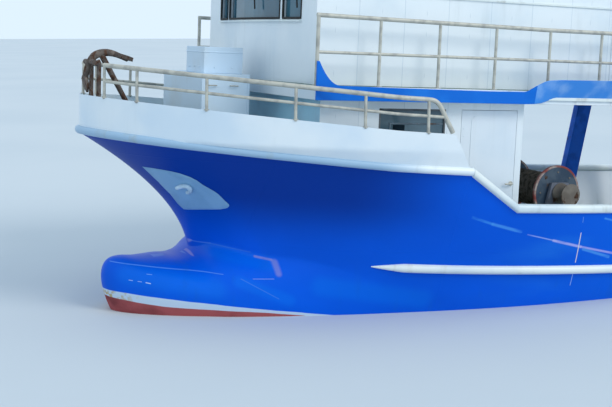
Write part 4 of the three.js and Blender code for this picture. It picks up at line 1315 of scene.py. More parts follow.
@dataclass
class SideTrim(Assembly):
    """What runs along the side: the round moulding of the sheer, the bulwark's cap and the rub rail."""

    moulding: float = 0.054
    cap_half: float = 0.07
    cap_height: float = 0.06

    @staticmethod
    def line(xs: np.ndarray, zs: np.ndarray) -> np.ndarray:
        """Points on the port side at the given stations and heights."""
        return np.stack([xs, LINES.upper_half(xs, zs), zs], axis=1)

    def build(self) -> None:
        """Builds the moulding, the caps and the rub rails."""
        self.sheer()
        for side in Side:
            self.cap(side)
            self.rub_rail(side)
        self.stern_cap()

    def sheer(self) -> None:
        """Bends the half-round moulding round the bow, from one cap to the other."""
        start = LINES.fore_x + 0.002
        stations = start + (LINES.stem - start) * (1 - (1 - np.linspace(0, 1, 90)) ** 1.9)
        port = self.line(stations, LINES.fore_deck(stations))
        port[-1, 1] = 0
        round_bow = np.concatenate([port, (port * (1, -1, 1))[-2::-1]])
        shape = self.start("sheer_moulding", Paint.MOULDING)
        shape.pipes([(round_bow, self.moulding)], 20)
        shape.finish(smooth=50, slot="white_paint")

    def cap(self, side: Side) -> None:
        """Lays the rounded cap along one side, down the slope from the forecastle.

        Args:
            side: port or starboard.
        """
        stations = np.concatenate([np.linspace(-9.2, 4.58, 70), np.linspace(4.6, LINES.fore_x, 12)])
        middle = self.line(stations, LINES.side_top(stations))
        angles = even_angles(28)
        across = -0.025 + self.cap_half * np.sign(np.cos(angles)) * np.abs(np.cos(angles)) ** 0.75
        up = -0.005 + self.cap_height * np.sign(np.sin(angles)) * np.abs(np.sin(angles)) ** 0.75
        slope = np.gradient(middle[:, 1], stations)
        size = np.hypot(slope, 1)
        out = np.stack([-slope / size, 1 / size, 0 * size], axis=1)
        lift = np.array([0, 0, 1]) * up[None, :, None]
        rows = middle[:, None] + out[:, None] * across[None, :, None] + lift
        shape = self.start(side.name_of("bulwark_cap"), Paint.TRIM)
        shape.skin(rows * (1, side.value, 1), around=True, capped=True)
        shape.finish(smooth=50, slot="white_paint")

    def stern_cap(self) -> None:
        """Lays the cap across the stern."""
        z = float(LINES.side_top(LINES.stern)) - 0.005
        shape = self.start("bulwark_cap_stern", Paint.TRIM)
        half = float(LINES.upper_half(LINES.stern, z))
        shape.box((LINES.stern - 0.04, -half - 0.04, z - 0.055), (LINES.stern + 0.09, half + 0.04, z + 0.055))
        shape.finish(bevel=0.03, slot="white_paint")

    def rub_rail(self, side: Side) -> None:
        """Welds the half-round rub rail to one side, tapering to a point forward.

        Args:
            side: port or starboard.
        """
        stations = np.concatenate([np.linspace(-9.2, 5.8, 60), np.linspace(5.9, 6.33, 14)])
        taper = np.clip((6.35 - stations) / 0.43, 0.04, 1) ** 0.8
        path = self.line(stations, LINES.main_deck(stations) - 0.055) * (1, side.value, 1)
        shape = self.start(side.name_of("rub_rail"), Paint.TRIM)
        shape.pipes([(path, list(0.062 * taper))], 20)
        shape.finish(smooth=50, slot="white_paint")


@dataclass
class Forecastle(Assembly):
    """The bow above the deck: white bulwarks, rails, the anchor in its frame, locker, hatch and bollards."""

    bulwark: float = 0.47
    wall: float = 0.03
    rail_height: float = 0.41
    stanchions: tuple[float, ...] = (9.62, 9.325, 8.635, 7.675, 6.855, 6.05)
    bollard_at: Pair = (8.8, 0.9)
    stock_at: Point = (9.02, 0.43, 2.15)
    after_edge: tuple[Pair, ...] = ((1.745, 5.36), (1.79, 5.36), (1.805, 5.425), (2.225, 5.69))

    def build(self) -> None:
        """Builds each piece of the forecastle."""
        for side in Side:
            self.plating(side)
            self.rail(side)
            self.hawse(side)
            self.bollards(side)
        self.anchor()
        self.frame()
        self.locker()
        self.hatch()

    def plating(self, side: Side) -> None:
        """Plates one side of the bulwark, its after end cut back.

        Args:
            side: port or starboard.
        """
        heights, cuts = zip(*self.after_edge)
        share = 1 - (1 - np.linspace(0, 1, 80)) ** 1.7
        outer = []
        for w in np.linspace(0.001, 1, 16):
            cut = np.interp(LINES.fore_z + self.bulwark * w, heights, cuts)
            x = cut + (LINES.stem - cut) * share
            z = LINES.fore_deck(x) + self.bulwark * w
            outer.append(np.stack([x, LINES.upper_half(x, z), z], axis=1))
        outer = np.array(outer)
        outer[:, -1, 1] = 0.0003
        inner = outer.copy()
        inner[:, :, 1] = np.maximum(outer[:, :, 1] - self.wall, 0.0003)
        loop = np.concatenate([outer, inner[::-1]])
        shape = self.start(side.name_of("forecastle_bulwark"), Paint.BULWARK)
        grid = shape.skin(np.swapaxes(loop, 0, 1) * (1, side.value, 1), around=True)
        count = len(outer)
        for ends in (grid[0], grid[-1]):
            for k in range(count - 1):
                ring = (ends[k], ends[k + 1], ends[2 * count - 2 - k], ends[2 * count - 1 - k])
                if len({tuple(v.co) for v in ring}) > 2:
                    shape.mesh.faces.new(ring)
        shape.finish(smooth=40, slot="white_paint")

    def foot(self, x: float) -> float:
        """Height of the bulwark's top at a station."""
        return float(LINES.fore_deck(x)) + self.bulwark

    def on_rail(self, x: float, up: float) -> Point:
        """A point of the rail at a station, up above the bulwark's top."""
        return x, float(LINES.upper_half(x, self.foot(x))) - (0.036 if up > 0 else 0.015), self.foot(x) + up

    def rail(self, side: Side) -> None:
        """Welds up one side's rail: a bent top pipe, a middle pipe, and its stanchions with their feet.

        Args:
            side: port or starboard.
        """
        mark = side.value
        line = [9.62, 9.45, 9.25, 8.9, 8.5, 8.05, 7.6, 7.2, 6.8, 6.4, 6.05]
        down = [(5.98, -0.008), (5.92, -0.045), (5.885, -0.09), (5.8, -0.235), (5.706, -0.395)]
        top = [self.on_rail(x, self.rail_height) for x in line]
        top += [self.on_rail(x, self.rail_height + fall) for x, fall in down]
        middle = [self.on_rail(x, self.rail_height / 2) for x in [*line, 5.83]]
        paths = [(smooth_path(top, 6), 0.03), (smooth_path(middle, 4), 0.02)]
        spots = []
        for x in self.stanchions:
            y = float(LINES.upper_half(x, self.foot(x))) - self.wall / 2
            paths.append(([(x, y, self.foot(x) - 0.02), self.on_rail(x, self.rail_height)], 0.02))
            spots.append(((x, y * mark, self.foot(x) - 0.004), (0, 0, 1)))
        paths = [([(x, y * mark, z) for x, y, z in path], bore) for path, bore in paths]
        shape = self.start(side.name_of("forecastle_rail"), Paint.PIPE)
        shape.pipes(paths)
        shape.bosses(spots, 0.034, 0.012, 12)
        shape.finish(smooth=50, slot="galvanised_rail")

    def hawse(self, side: Side) -> None:
        """Lays the leaf-shaped anchor plate on the bow, with its bent lug.

        Args:
            side: port or starboard.
        """
        leaf = [
            (9.054, 1.593), (8.939, 1.589), (8.799, 1.575), (8.696, 1.554), (8.584, 1.516), (8.504, 1.475),
            (8.417, 1.414), (8.28, 1.336), (8.227, 1.3), (8.14, 1.219), (8.072, 1.158), (8.063, 1.136),
            (8.073, 1.104), (8.132, 1.073), (8.308, 1.034), (8.4, 1.006), (8.436, 0.997), (8.507, 1.067),
            (8.631, 1.209), (8.72, 1.294), (8.808, 1.379), (8.931, 1.488)
        ]
        middle = np.array((8.5, 1.26))
        rings = []
        for share, proud in (
            (1, 0), (1, 0.01), *((inward, 0.015) for inward in (0.985, 0.8, 0.55, 0.3, 0.02))
        ):
            spots = middle + (np.array(leaf) - middle) * share
            half = LINES.upper_half(spots[:, 0], spots[:, 1]) + proud
            rings.append(np.stack([spots[:, 0], half * side.value, spots[:, 1]], axis=1))
        shape = self.start(side.name_of("hawse_plate"), Paint.PLATE, Paint.LUG)
        shape.skin(rings, around=True, capped=True)
        bend = []
        path = (
            (8.622, 1.326, -0.01), (8.62, 1.348, 0.045), (8.6, 1.372, 0.066), (8.56, 1.368, 0.072),
            (8.525, 1.335, 0.066), (8.507, 1.296, 0.045), (8.506, 1.275, -0.01)
        )
        for x, z, out in path:
            bend.append((x, (float(LINES.upper_half(x, z)) + out) * side.value, z))
        shape.pipes([(smooth_path(bend, 6), 0.03)], 16, 1)
        shape.finish(smooth=50, slot="hawse_steel")

    def bollards(self, side: Side) -> None:
        """Stands twin bollards with rolled heads on their foot plate.

        Args:
            side: port or starboard.
        """
        x, y = self.bollard_at[0], self.bollard_at[1] * side.value
        deck = float(LINES.fore_deck(x))
        shape = self.start(side.name_of("bollards"), Paint.IRON)
        shape.box((x - 0.25, y - 0.09, deck - 0.015), (x + 0.25, y + 0.09, deck + 0.045))
        head = [
            (0, 0.04), (0.062, 0.04), (0.055, 0.06), (0.053, 0.2), (0.055, 0.245), (0.062, 0.255),
            (0.062, 0.28), (0.055, 0.29), (0, 0.29)
        ]
        for off in (-0.14, 0.14):
            shape.turned(head, (x + off, y, deck), (0, 0, 1), 32)
        shape.finish(bevel=0.006, smooth=40, slot="bare_iron")

    def anchor(self) -> None:
        """Forges the stowed anchor: tapered curved arms with palms, shank, stock and shackle."""
        arms = [
            (9.69, 2.58), (9.725, 2.74), (9.675, 2.93), (9.6, 3.03), (9.46, 3.068), (9.33, 3.05), (9.16, 2.98)
        ]
        arms = smooth_path([(x, 0, z) for x, z in arms])
        count = len(arms)
        bores = [0.026 + 0.026 * math.sin(math.pi * k / (count - 1)) for k in range(count)]
        shank = [(9.545, 0, 3.085), (9.27, 0, 2.6), (8.99, 0, 2.11)]
        ring = [(9.0 + 0.05 * math.cos(a), 0.05 * math.sin(a), 2.13) for a in np.linspace(0, 2 * math.pi, 17)]
        shape = self.start("anchor", Paint.IRON)
        x, half, z = self.stock_at
        stock = [(x, -half, z), (x, half, z)]
        shape.pipes([(arms, bores), (shank, [0.042, 0.036, 0.03]), (stock, 0.026), (ring, 0.012)], 12)
        for tip, root, up in (
            ((9.1, 2.93), (9.37, 3.0), (-0.02, 0.08)), ((9.67, 2.54), (9.72, 2.76), (0.045, 0))
        ):
            self.palm(shape, tip, root, up)
        knob = [(0, -0.04), (0.03, -0.028), (0.04, 0), (0.03, 0.028), (0, 0.04)]
        for y in (-half, half):
            shape.turned(knob, (x, y, z), (0, 1, 0), 16)
        shape.finish(smooth=45, slot="bare_iron")

    @staticmethod
    def palm(shape: Shape, tip: Pair, root: Pair, up: Pair) -> None:
        """Adds a spade-shaped palm at the end of an arm.

        Args:
            shape: the anchor.
            tip: X and Z of the palm's point.
            root: X and Z of its root.
            up: how far its face is raised in X and Z.
        """
        outline = [(0, 0), (0.35, 0.1), (0.8, 0.115), (1.0, 0.04), (1.0, -0.04), (0.8, -0.115), (0.35, -0.1)]
        (x, z), (run_x, run_z) = tip, (root[0] - tip[0], root[1] - tip[1])
        rows = []
        for lift in (0.35, 1.0):
            rows.append([(x + run_x * a + up[0] * lift, y, z + run_z * a + up[1] * lift) for a, y in outline])
        shape.skin(rows, 0, True, True)

    def frame(self) -> None:
        """Welds the frame that carries the anchor over the stem."""
        shape = self.start("bow_frame", Paint.IRON)
        paths = [([(9.6, y, 1.99), (9.6, y, 2.93), (9.62, y * 1.05, 2.96)], 0.032) for y in (-0.19, 0.19)]
        paths += [
            ([(9.67, y0, 2.94), (9.67, y1, 2.94)], 0.036) for y0, y1 in ((-0.24, -0.044), (0.044, 0.24))
        ]
        paths += [([(9.6, y, 2.9), (9.67, y, 2.94)], 0.026) for y in (-0.19, 0.19)]
        shape.pipes(paths, 14)
        shape.finish(smooth=50, slot="bare_iron")

    def locker(self) -> None:
        """Builds the foredeck locker, with a stiffener and handles on its side."""
        # the locker's blue-grey is painted shade: it stands in the bridge's shadow
        shape = self.start("foredeck_locker", Paint.SHADED, Paint.PIPE)
        shape.take()
        shape.box((7.735, 0.8, 2.3), (7.755, 0.812, 2.8))
        handles = [
            [(x, 0.8, 2.7), (x, 0.84, 2.7), (x + 0.1, 0.84, 2.7), (x + 0.1, 0.8, 2.7)] for x in (7.9, 8.2)
        ]
        shape.pipes([(path, 0.008) for path in handles], 8, 1)
        shape.finish(bevel=0.012, slot="white_paint")

    def hatch(self) -> None:
        """Builds the forepeak hatch box with its lid's lip and clips."""
        # the hatch's blue-grey is painted shade: it stands in the bridge's shadow
        shape = self.start("forepeak_hatch", Paint.SHADED, Paint.SHADED)
        shape.take()
        shape.box((7.748, -0.106, 3.12), (8.306, 0.606, 3.14))
        spots = [((8.3, y, 2.93), (1, 0, 0)) for y in (0.05, 0.25, 0.45)]
        spots += [((x, 0.6, 2.93), (0, 1, 0)) for x in (7.9, 8.15)]
        shape.bosses(spots, 0.009, 0.014, 10, paint=1)
        shape.finish(Body.FOREPEAK_HATCH.value, bevel=0.012, slot="white_paint")


@dataclass
class LowerDeckhouse(Assembly):
    """The deckhouse on the main deck: walls, fixed windows and the side doors."""

    half: float = 2.0
    hinge_x: float = 5.1
    handle: Pair = (4.3, 1.5)
    panel_middle: Pair = (4.7, 1.65)
    window: tuple[float, float, float, float] = (5.4, 6.4, 1.85, 2.5)

    def build(self) -> None:
        """Builds the walls and both sides' doors and windows."""
        shape = self.start("lower_deckhouse", Paint.WALL, Paint.RECESS)
        shape.take()
        # painted shade: the front face under the upper deck's overhang gets the sky-blue shade colour
        for face in shape.mesh.faces:
            if face.normal.x > 0.9 and face.calc_center_median().x > 7:
                face.material_index = 1
        shape.finish(bevel=0.008, slot="white_paint")
        for side in Side:
            self.side_door(side)
            self.side_window(side)

    def side_door(self, side: Side) -> None:
        """Builds a door leaf with its raised panel, lever handle and hinge pins.

        Args:
            side: port or starboard.
        """
        mark = side.value
        shape = self.start(side.name_of("deckhouse_door"), Paint.DOOR, Paint.PIPE)
        shape.take()
        panel = [(4.41, 0.86), (4.99, 0.86), (4.99, 2.36), (4.93, 2.43), (4.47, 2.43), (4.41, 2.36)]
        middle_x, middle_z = self.panel_middle
        for grow, proud in ((0, 0.005), (-0.02, 0.002)):
            ring = [(x - grow * np.sign(middle_x - x), z - grow * np.sign(middle_z - z)) for x, z in panel]
            low, high = sorted((mark * (self.half - 0.001), mark * (self.half + proud)))
            shape.plate(ring, low, high)
        x, z = self.handle
        lever = [
            (x, mark * 1.99, z), (x, mark * 2.05, z), (4.33, mark * 2.055, z), (4.42, mark * 2.05, 1.497)
        ]
        shape.pipes([(lever, 0.011)], 10, 1)
        shape.bosses([((x, mark * self.half, z), (0, mark, 0))], 0.032, 0.012, 20, paint=1)
        pins = [((self.hinge_x, mark * self.half, z), (0, mark, 0)) for z in (0.85, 0.95, 2.15, 2.25)]
        shape.bosses(pins, 0.01, 0.006, 8)
        shape.finish(side.name_of(Body.DECKHOUSE_DOOR.value), bevel=0.006, slot="white_paint")

    def side_window(self, side: Side) -> None:
        """Frames a side window and sets a dark square in its pane, painted shade for the dark cabin behind
        it.

        Args:
            side: port or starboard.
        """
        x0, x1, z0, z1 = self.window
        y0, y1 = sorted((side.value * (self.half - 0.018), side.value * (self.half + 0.008)))
        shape = self.start(side.name_of("deckhouse_window_frame"), Paint.MACHINE, Paint.DARK, Paint.STRAP)
        wide = 0.022
        bars = (
            (x0, z0, x1, z0 + wide), (x0, z1 - wide, x1, z1), (x0, z0, x0 + wide, z1), (x1 - wide, z0, x1, z1)
        )
        for left, low, right, high in bars:
            shape.box((left, y0, low), (right, y1 - 0.004 if side is Side.PORT else y1, high), 2)
        inner, outer = sorted((side.value * (self.half - 0.019), side.value * (self.half - 0.010)))
        # painted shade: the dark cabin seen through the window
        shape.box((6.01, inner, 2.19), (6.18, outer, 2.29), 1)
        shape.box((5.43, inner, 2.30), (6.22, outer, 2.315), 0)
        shape.box((6.22, inner, 1.88), (6.235, outer, 2.315), 0)
        shape.finish(bevel=0.003)


@dataclass
class UpperDeck(Assembly):
    """The deck over the deckhouse and the working deck: slab, blue fascia, posts and rails."""

    half: float = 2.2
    thick: float = 0.03
    rail_half: float = 2.15
    spacing: float = 0.873
    # station, bottom, top and how far the top flares out, forward to aft
    band: tuple[tuple[float, float, float, float], ...] = (
        (4.75, 2.6, 2.76, 0), (4.28, 2.6, 2.765, 0), (4.15, 2.605, 2.85, 0.045), (4.03, 2.62, 2.925, 0.11),
        (3.82, 2.69, 2.94, 0.13), (2.9, 2.7, 2.95, 0.14), (-1.6, 2.7, 2.95, 0.14),
    )

    def build(self) -> None:
        """Builds the slab, and the fascia, rail and posts of each side."""
        shape = self.start("upper_deck", Paint.WHITE, Paint.DECK)
        shape.take()
        shape.mesh.faces.ensure_lookup_table()
        for face in shape.mesh.faces:
            if face.calc_center_median().z > 2.775:
                face.material_index = 1
        shape.finish(bevel=0.006)
        for side in Side:
            self.fascia(side)
            self.rail(side)
            self.posts(side)

    def fascia(self, side: Side) -> None:
        """Cuts the blue fascia with its swept plate forward, and flares it aft into a sun-faded band.

        Args:
            side: port or starboard.
        """
        sweep = np.linspace(7.39, 7.08, 22)
        rows = [(7.42, 2.6, 3.08, 0), (7.4, 2.6, 3.08, 0)]
        rows += [(x, 2.6, 2.785 + 0.295 * ((x - 7.08) / 0.31) ** 2.1, 0) for x in sweep]
        rows += [(x, 2.6, 2.76 + 0.02 * (x - 4.75) / 2.33, 0) for x in (6.4, 5.6, 5.0)]
        count = len(rows)
        fine = np.array(self.band)
        stations = np.concatenate([np.linspace(4.75, 2.9, 38), np.linspace(2.5, -1.6, 9)])
        rows += [(x, *(np.interp(-x, -fine[:, 0], fine[:, k]) for k in (1, 2, 3))) for x in stations]
        y = self.half + 0.0003
        face_y = y + self.thick
        loops = [
            [(x, y, low), (x, face_y, low), (x, face_y + out, top), (x, y + out, top)]
            for x, low, top, out in rows
        ]
        shape = self.start(side.name_of("fascia"), Paint.BAND, Paint.FLARE, Paint.TRIM)
        shape.skin(np.array(loops) * (1, side.value, 1), around=True, capped=True)
        for face in shape.mesh.faces:
            if face.calc_center_median().x < rows[count + 12][0]:
                face.material_index = 1
        low, high = sorted((side.value * (y + 0.002), side.value * (y + 0.034)))
        shape.box((-1.6, low, 2.655), (3.92, high, 2.7), 2)
        shape.finish(bevel=0.004, slot="hull_blue")

    def rail(self, side: Side) -> None:
        """Welds up one side's rail, with its stanchions and their feet.

        Args:
            side: port or starboard.
        """
        y, top = self.rail_half * side.value, 2.78
        stations = [7.39 - k * self.spacing for k in range(11)]
        hand_rail = [(7.41, y, top + 0.86), (3.9, y, top + 0.82), (-1.36, y, top + 0.82)]
        paths = [(hand_rail, 0.028), ([(7.39, y, top + 0.41), (-1.34, y, top + 0.41)], 0.02)]
        for k, x in enumerate(stations):
            head = top + np.interp(x, (3.9, 7.39), (0.82, 0.86))
            paths.append(([(x, y, top + 0.0004), (x, y, head)], 0.024 if k == 0 else 0.02))
        shape = self.start(side.name_of("upper_rail"), Paint.PIPE)
        shape.pipes(paths, 14)
        shape.bosses([((x, y, top + 0.0004), (0, 0, 1)) for x in stations], 0.045, 0.01, 16)
        shape.finish(smooth=50, slot="galvanised_rail")

    def posts(self, side: Side) -> None:
        """Dresses the box posts under the deck.

        Args:
            side: port or starboard.
        """
        for name in ("shelter_post", "aft_post"):
            shape = self.start(side.name_of(name), Paint.POST)
            shape.take()
            shape.finish(bevel=0.018, slot="hull_blue")


@dataclass
class Bridge(Assembly):
    """The bridge: bulged front, window bands, doors, the roof with its rail and lamps, scanner and raft."""

    half: float = 1.9
    front: float = 7.3
    bulge: float = 0.12
    bulge_half: float = 1.45
    panes: tuple[Pair, ...] = ((-1.45, -0.98), (-0.92, 0.92), (0.98, 1.45))
    pane_levels: Pair = (3.6, 4.43)
    side_panes: tuple[float, ...] = (7.0, 5.95, 4.9)
    side_length: float = 0.65
    side_levels: Pair = (4.05, 4.58)
    door: Pair = (1.9, 2.65)
    port_z: float = 4.3
    lever_z: float = 3.8
    scanner_at: Pair = (4.8, 5.5206)
    scanner_half: float = 0.9
    raft_at: Point = (2.0, 0, 5.4406)
    roof: float = 5.0203

    def front_at(self, y: float) -> float:
        """Station of the front wall's face at a place across it."""
        return self.front + self.bulge * max(0, 1 - (y / self.bulge_half) ** 2)

    def build(self) -> None:
        """Builds the walls, glass frames, doors, roof and what stands on it."""
        self.walls()
        self.fittings()
        for side in Side:
            self.side_door(side)
        self.roofing()
        self.scanner()
        self.raft()
        self.glaze()

    def walls(self) -> None:
        """Dresses the walls with ledges under and over the windows."""
        shape = self.start("wheelhouse", Paint.WALL, Paint.TRIM)
        shape.take()
        for level, proud, deep in (
            (self.pane_levels[0], 0.03, 0.035), (self.pane_levels[1] + 0.03, 0.022, 0.03)
        ):
            across = np.linspace(-self.bulge_half, self.bulge_half, 25)
            loop = [(-0.004, 0), (proud, 0), (proud, deep * 0.6), (-0.004, deep)]
            rows = [[(self.front_at(y) + out, y, level - deep + up) for out, up in loop] for y in across]
            shape.skin(rows, 1, True, True)
        for side in Side:
            face = sorted((side.value * self.half, side.value * (self.half + 0.018)))
            shape.box((1.56, face[0], 3.94), (7.26, face[1], 3.965), 1)
            shape.box((1.56, face[0], 4.66), (1.84, face[1], 4.685), 1)
            shape.box((2.71, face[0], 4.66), (7.26, face[1], 4.685), 1)
        shape.finish(bevel=0.008, slot="white_paint")

    def fittings(self) -> None:
        """Adds the rubber seals round the panes, the wipers and the side lights."""
        seals = []
        z0, z1 = self.pane_levels
        for y0, y1 in self.panes:
            across = np.linspace(y0 + 0.012, y1 - 0.012, 13)
            foot = [(self.front_at(y) - 0.004, y, z0 + 0.012) for y in across]
            head = [(self.front_at(y) - 0.004, y, z1 - 0.012) for y in across[::-1]]
            seals.append(([*foot, *head, foot[0]], 0.016))
            middle = (y0 + y1) / 2
            at = self.front_at(middle)
            arm = [
                (at - 0.01, middle, z1 - 0.03), (at + 0.03, middle, z1 - 0.06),
                (at + 0.02, middle + 0.16, z0 + 0.36)
            ]
            blade = [(at + 0.012, middle + 0.1, z1 - 0.2), (at + 0.012, middle + 0.19, z0 + 0.14)]
            seals += [(arm, 0.008), (blade, 0.011)]
        for side in Side:
            y = side.value * (self.half - 0.002)
            low, high = self.side_levels
            for fore in self.side_panes:
                x0, x1 = fore - self.side_length + 0.012, fore - 0.012
                z0, z1 = low + 0.012, high - 0.012
                seals.append(
                    ([(x, y, z) for x, z in ((x0, z0), (x1, z0), (x1, z1), (x0, z1), (x0, z0))], 0.015)
                )
            lens = Paint.RED_LENS if side is Side.PORT else Paint.GREEN_LENS
            lamp = self.start(side.name_of("side_light"), Paint.MACHINE, lens)
            wall = sorted((side.value * self.half, side.value * (self.half + 0.12)))
            lamp.box((6.6, wall[0], 4.72), (6.98, wall[1], 4.735), 0)
            lamp.box(
                (6.6, wall[0], 4.735), (6.98, wall[0] + 0.02 if side is Side.PORT else wall[0] + 0.12, 4.9), 0
            )
            bowl = [(0, 0), (0.035, 0), (0.038, 0.01), (0.038, 0.1), (0.03, 0.12), (0, 0.125)]
            lamp.turned(bowl, (6.85, side.value * 1.965, 4.735), (0, 0, 1), 20, 1)
            lamp.finish(bevel=0.003)
        shape = self.start("window_seals", Paint.RUBBER)
        shape.pipes(seals, 10)
        shape.finish(smooth=60)

    def side_door(self, side: Side) -> None:
        """Builds a bridge door with its round light and its lever.

        Args:
            side: port or starboard.
        """
        x0, x1 = self.door
        mark = side.value
        middle = ((x0 + x1) / 2, mark * (self.half - 0.001), self.port_z)
        shape = self.start(
            side.name_of("bridge_door"), Paint.WHITE, Paint.PIPE, Paint.BRIDGE_GLASS, Paint.RUBBER
        )
        shape.take()
        shape.turned(ring_of(0.16, 0.19, 0, 0.014), middle, (0, mark, 0), 40, 3, closed=True)
        shape.turned(ring_of(0, 0.165, 0, 0.006), middle, (0, mark, 0), 40, 2)
        x, z = x0 + 0.07, self.lever_z
        lever = [
            (x, mark * 1.89, z), (x, mark * 1.945, z), (x0 + 0.1, mark * 1.95, z),
            (x0 + 0.19, mark * 1.945, 3.797)
        ]
        shape.pipes([(lever, 0.011)], 10, 1)
        shape.bosses([((x, mark * self.half, z), (0, mark, 0))], 0.03, 0.012, 20, paint=1)
        shape.finish(side.name_of(Body.BRIDGE_DOOR.value), bevel=0.005, slot="white_paint")

    def roofing(self) -> None:
        """Dresses the roof with its rail, search lamp, horn, whip aerials and dome."""
        shape = self.start("wheelhouse_roof", Paint.WHITE, Paint.PIPE, Paint.LAMP, Paint.MACHINE)
        shape.take()
        top = self.roof
        rail = [(1.5, 1.85), (6.9, 1.85), (7.35, 1.3), (7.45, 0), (7.35, -1.3), (6.9, -1.85), (1.5, -1.85)]
        paths = [(smooth_corners([(x, y, top + 0.22) for x, y in rail], 0.25), 0.017)]
        feet = [(x, y) for x in (1.5, 3.3, 5.1, 6.9) for y in (1.85, -1.85)] + [(7.45, 0)]
        paths += [([(x, y, top - 0.002), (x, y, top + 0.22)], 0.012) for x, y in feet]
        for x, y, high in ((3.9, 1.3, 2.2), (3.9, -1.3, 2.5), (1.9, -1.4, 1.6)):
            paths += [
                ([(x, y, top - 0.002), (x, y, top + 0.25)], 0.025),
                ([(x, y, top + 0.25), (x, y, top + high)], [0.011, 0.005])
            ]
        shape.pipes(paths, 10, 1)
        foot, lamp = (6.5, 0.9, top - 0.002), (6.5, 0.9, top + 0.25)
        shape.turned([(0, 0), (0.05, 0), (0.04, 0.16), (0, 0.16)], foot, (0, 0, 1), 20, 3)
        drum = [(0, -0.09), (0.07, -0.09), (0.12, -0.02), (0.125, 0.1), (0.115, 0.11), (0, 0.11)]
        shape.turned(drum, lamp, (1, 0, 0), 32, 3)
        shape.turned([(0, 0.108), (0.105, 0.108), (0.1, 0.118), (0, 0.125)], lamp, (1, 0, 0), 32, 2)
        horn = [(0, -0.1), (0.03, -0.1), (0.022, 0.05), (0.03, 0.15), (0.07, 0.24), (0.066, 0.24), (0, 0.16)]
        shape.turned(horn, (6.7, -0.8, top + 0.09), (1, 0, 0), 24, 1)
        shape.box((6.6, -0.83, top - 0.002), (6.78, -0.77, top + 0.075), 1)
        dome = [(0, 0), (0.13, 0), (0.13, 0.02), (0.17, 0.06), (0.17, 0.12), (0.1, 0.2), (0, 0.22)]
        shape.turned(dome, (5.6, -1.2, top + 0.3), (0, 0, 1), 32)
        shape.rod((5.6, -1.2, top - 0.002), (5.6, -1.2, top + 0.31), 0.03, 1)
        shape.finish(bevel=0.012, slot="white_paint")

    def scanner(self) -> None:
        """Builds the turning scanner, a moulded bar with rounded ends on its hub."""
        shape = self.start("radar_scanner", Paint.RAFT, Paint.MACHINE)
        x, foot = self.scanner_at
        hub = [(0, 0), (0.06, 0), (0.06, 0.03), (0.05, 0.055), (0.05, 0.09), (0, 0.09)]
        shape.turned(hub, (x, 0, foot), (0, 0, 1), 32, 1)
        stations = self.scanner_half * np.sin(np.linspace(-math.pi / 2, math.pi / 2, 25))
        angles = even_angles(24)
        across, up = (np.sign(v) * np.abs(v) ** 0.6 for v in (np.cos(angles), np.sin(angles)))
        rows = []
        for y in stations:
            size = 0.35 + 0.65 * (1 - abs(y / self.scanner_half) ** 6) ** 0.5
            rows.append(
                [(x + 0.06 * size * a, y, foot + 0.125 + 0.065 * size * b) for a, b in zip(across, up)]
            )
        shape.skin(rows, 0, True, True)
        shape.finish(Body.RADAR.value, smooth=40, slot="white_paint")

    def raft(self) -> None:
        """Builds the raft's moulded canister, in two halves strapped to its cradle."""
        shape = self.start("life_raft", Paint.RAFT, Paint.STRAP)
        profile = [
            (0, 0), (0.12, 0.003), (0.21, 0.025), (0.262, 0.07), (0.275, 0.12), (0.28, 0.2), (0.292, 0.215),
            (0.28, 0.23), (0.28, 0.36), (0.292, 0.375), (0.28, 0.39), (0.28, 0.58), (0.3, 0.59), (0.3, 0.61),
            (0.28, 0.62), (0.28, 0.81), (0.292, 0.825), (0.28, 0.84), (0.28, 0.97), (0.292, 0.985),
            (0.28, 1.0), (0.275, 1.08), (0.262, 1.13), (0.21, 1.175), (0.12, 1.197), (0, 1.2)
        ]
        shape.turned(profile, self.raft_at, (1, 0, 0), 56)
        for off in (0.29, 0.91):
            shape.turned(
                ring_of(0.278, 0.287, off - 0.03, off + 0.03), self.raft_at, (1, 0, 0), 56, 1, closed=True
            )
        shape.finish(smooth=40, slot="white_paint")

    def glaze(self) -> None:
        """Gives the CAD panes their glass."""
        panes = {
            "glass_front": Paint.BRIDGE_GLASS, "glass_side": Paint.BRIDGE_GLASS,
            "deckhouse_glass": Paint.HOUSE_GLASS
        }
        for stem, paint in panes.items():
            for node in ([stem] if stem == "glass_front" else [side.name_of(stem) for side in Side]):
                data = bpy.data.objects[node].data
                data.materials.clear()
                data.materials.append(paint.material)


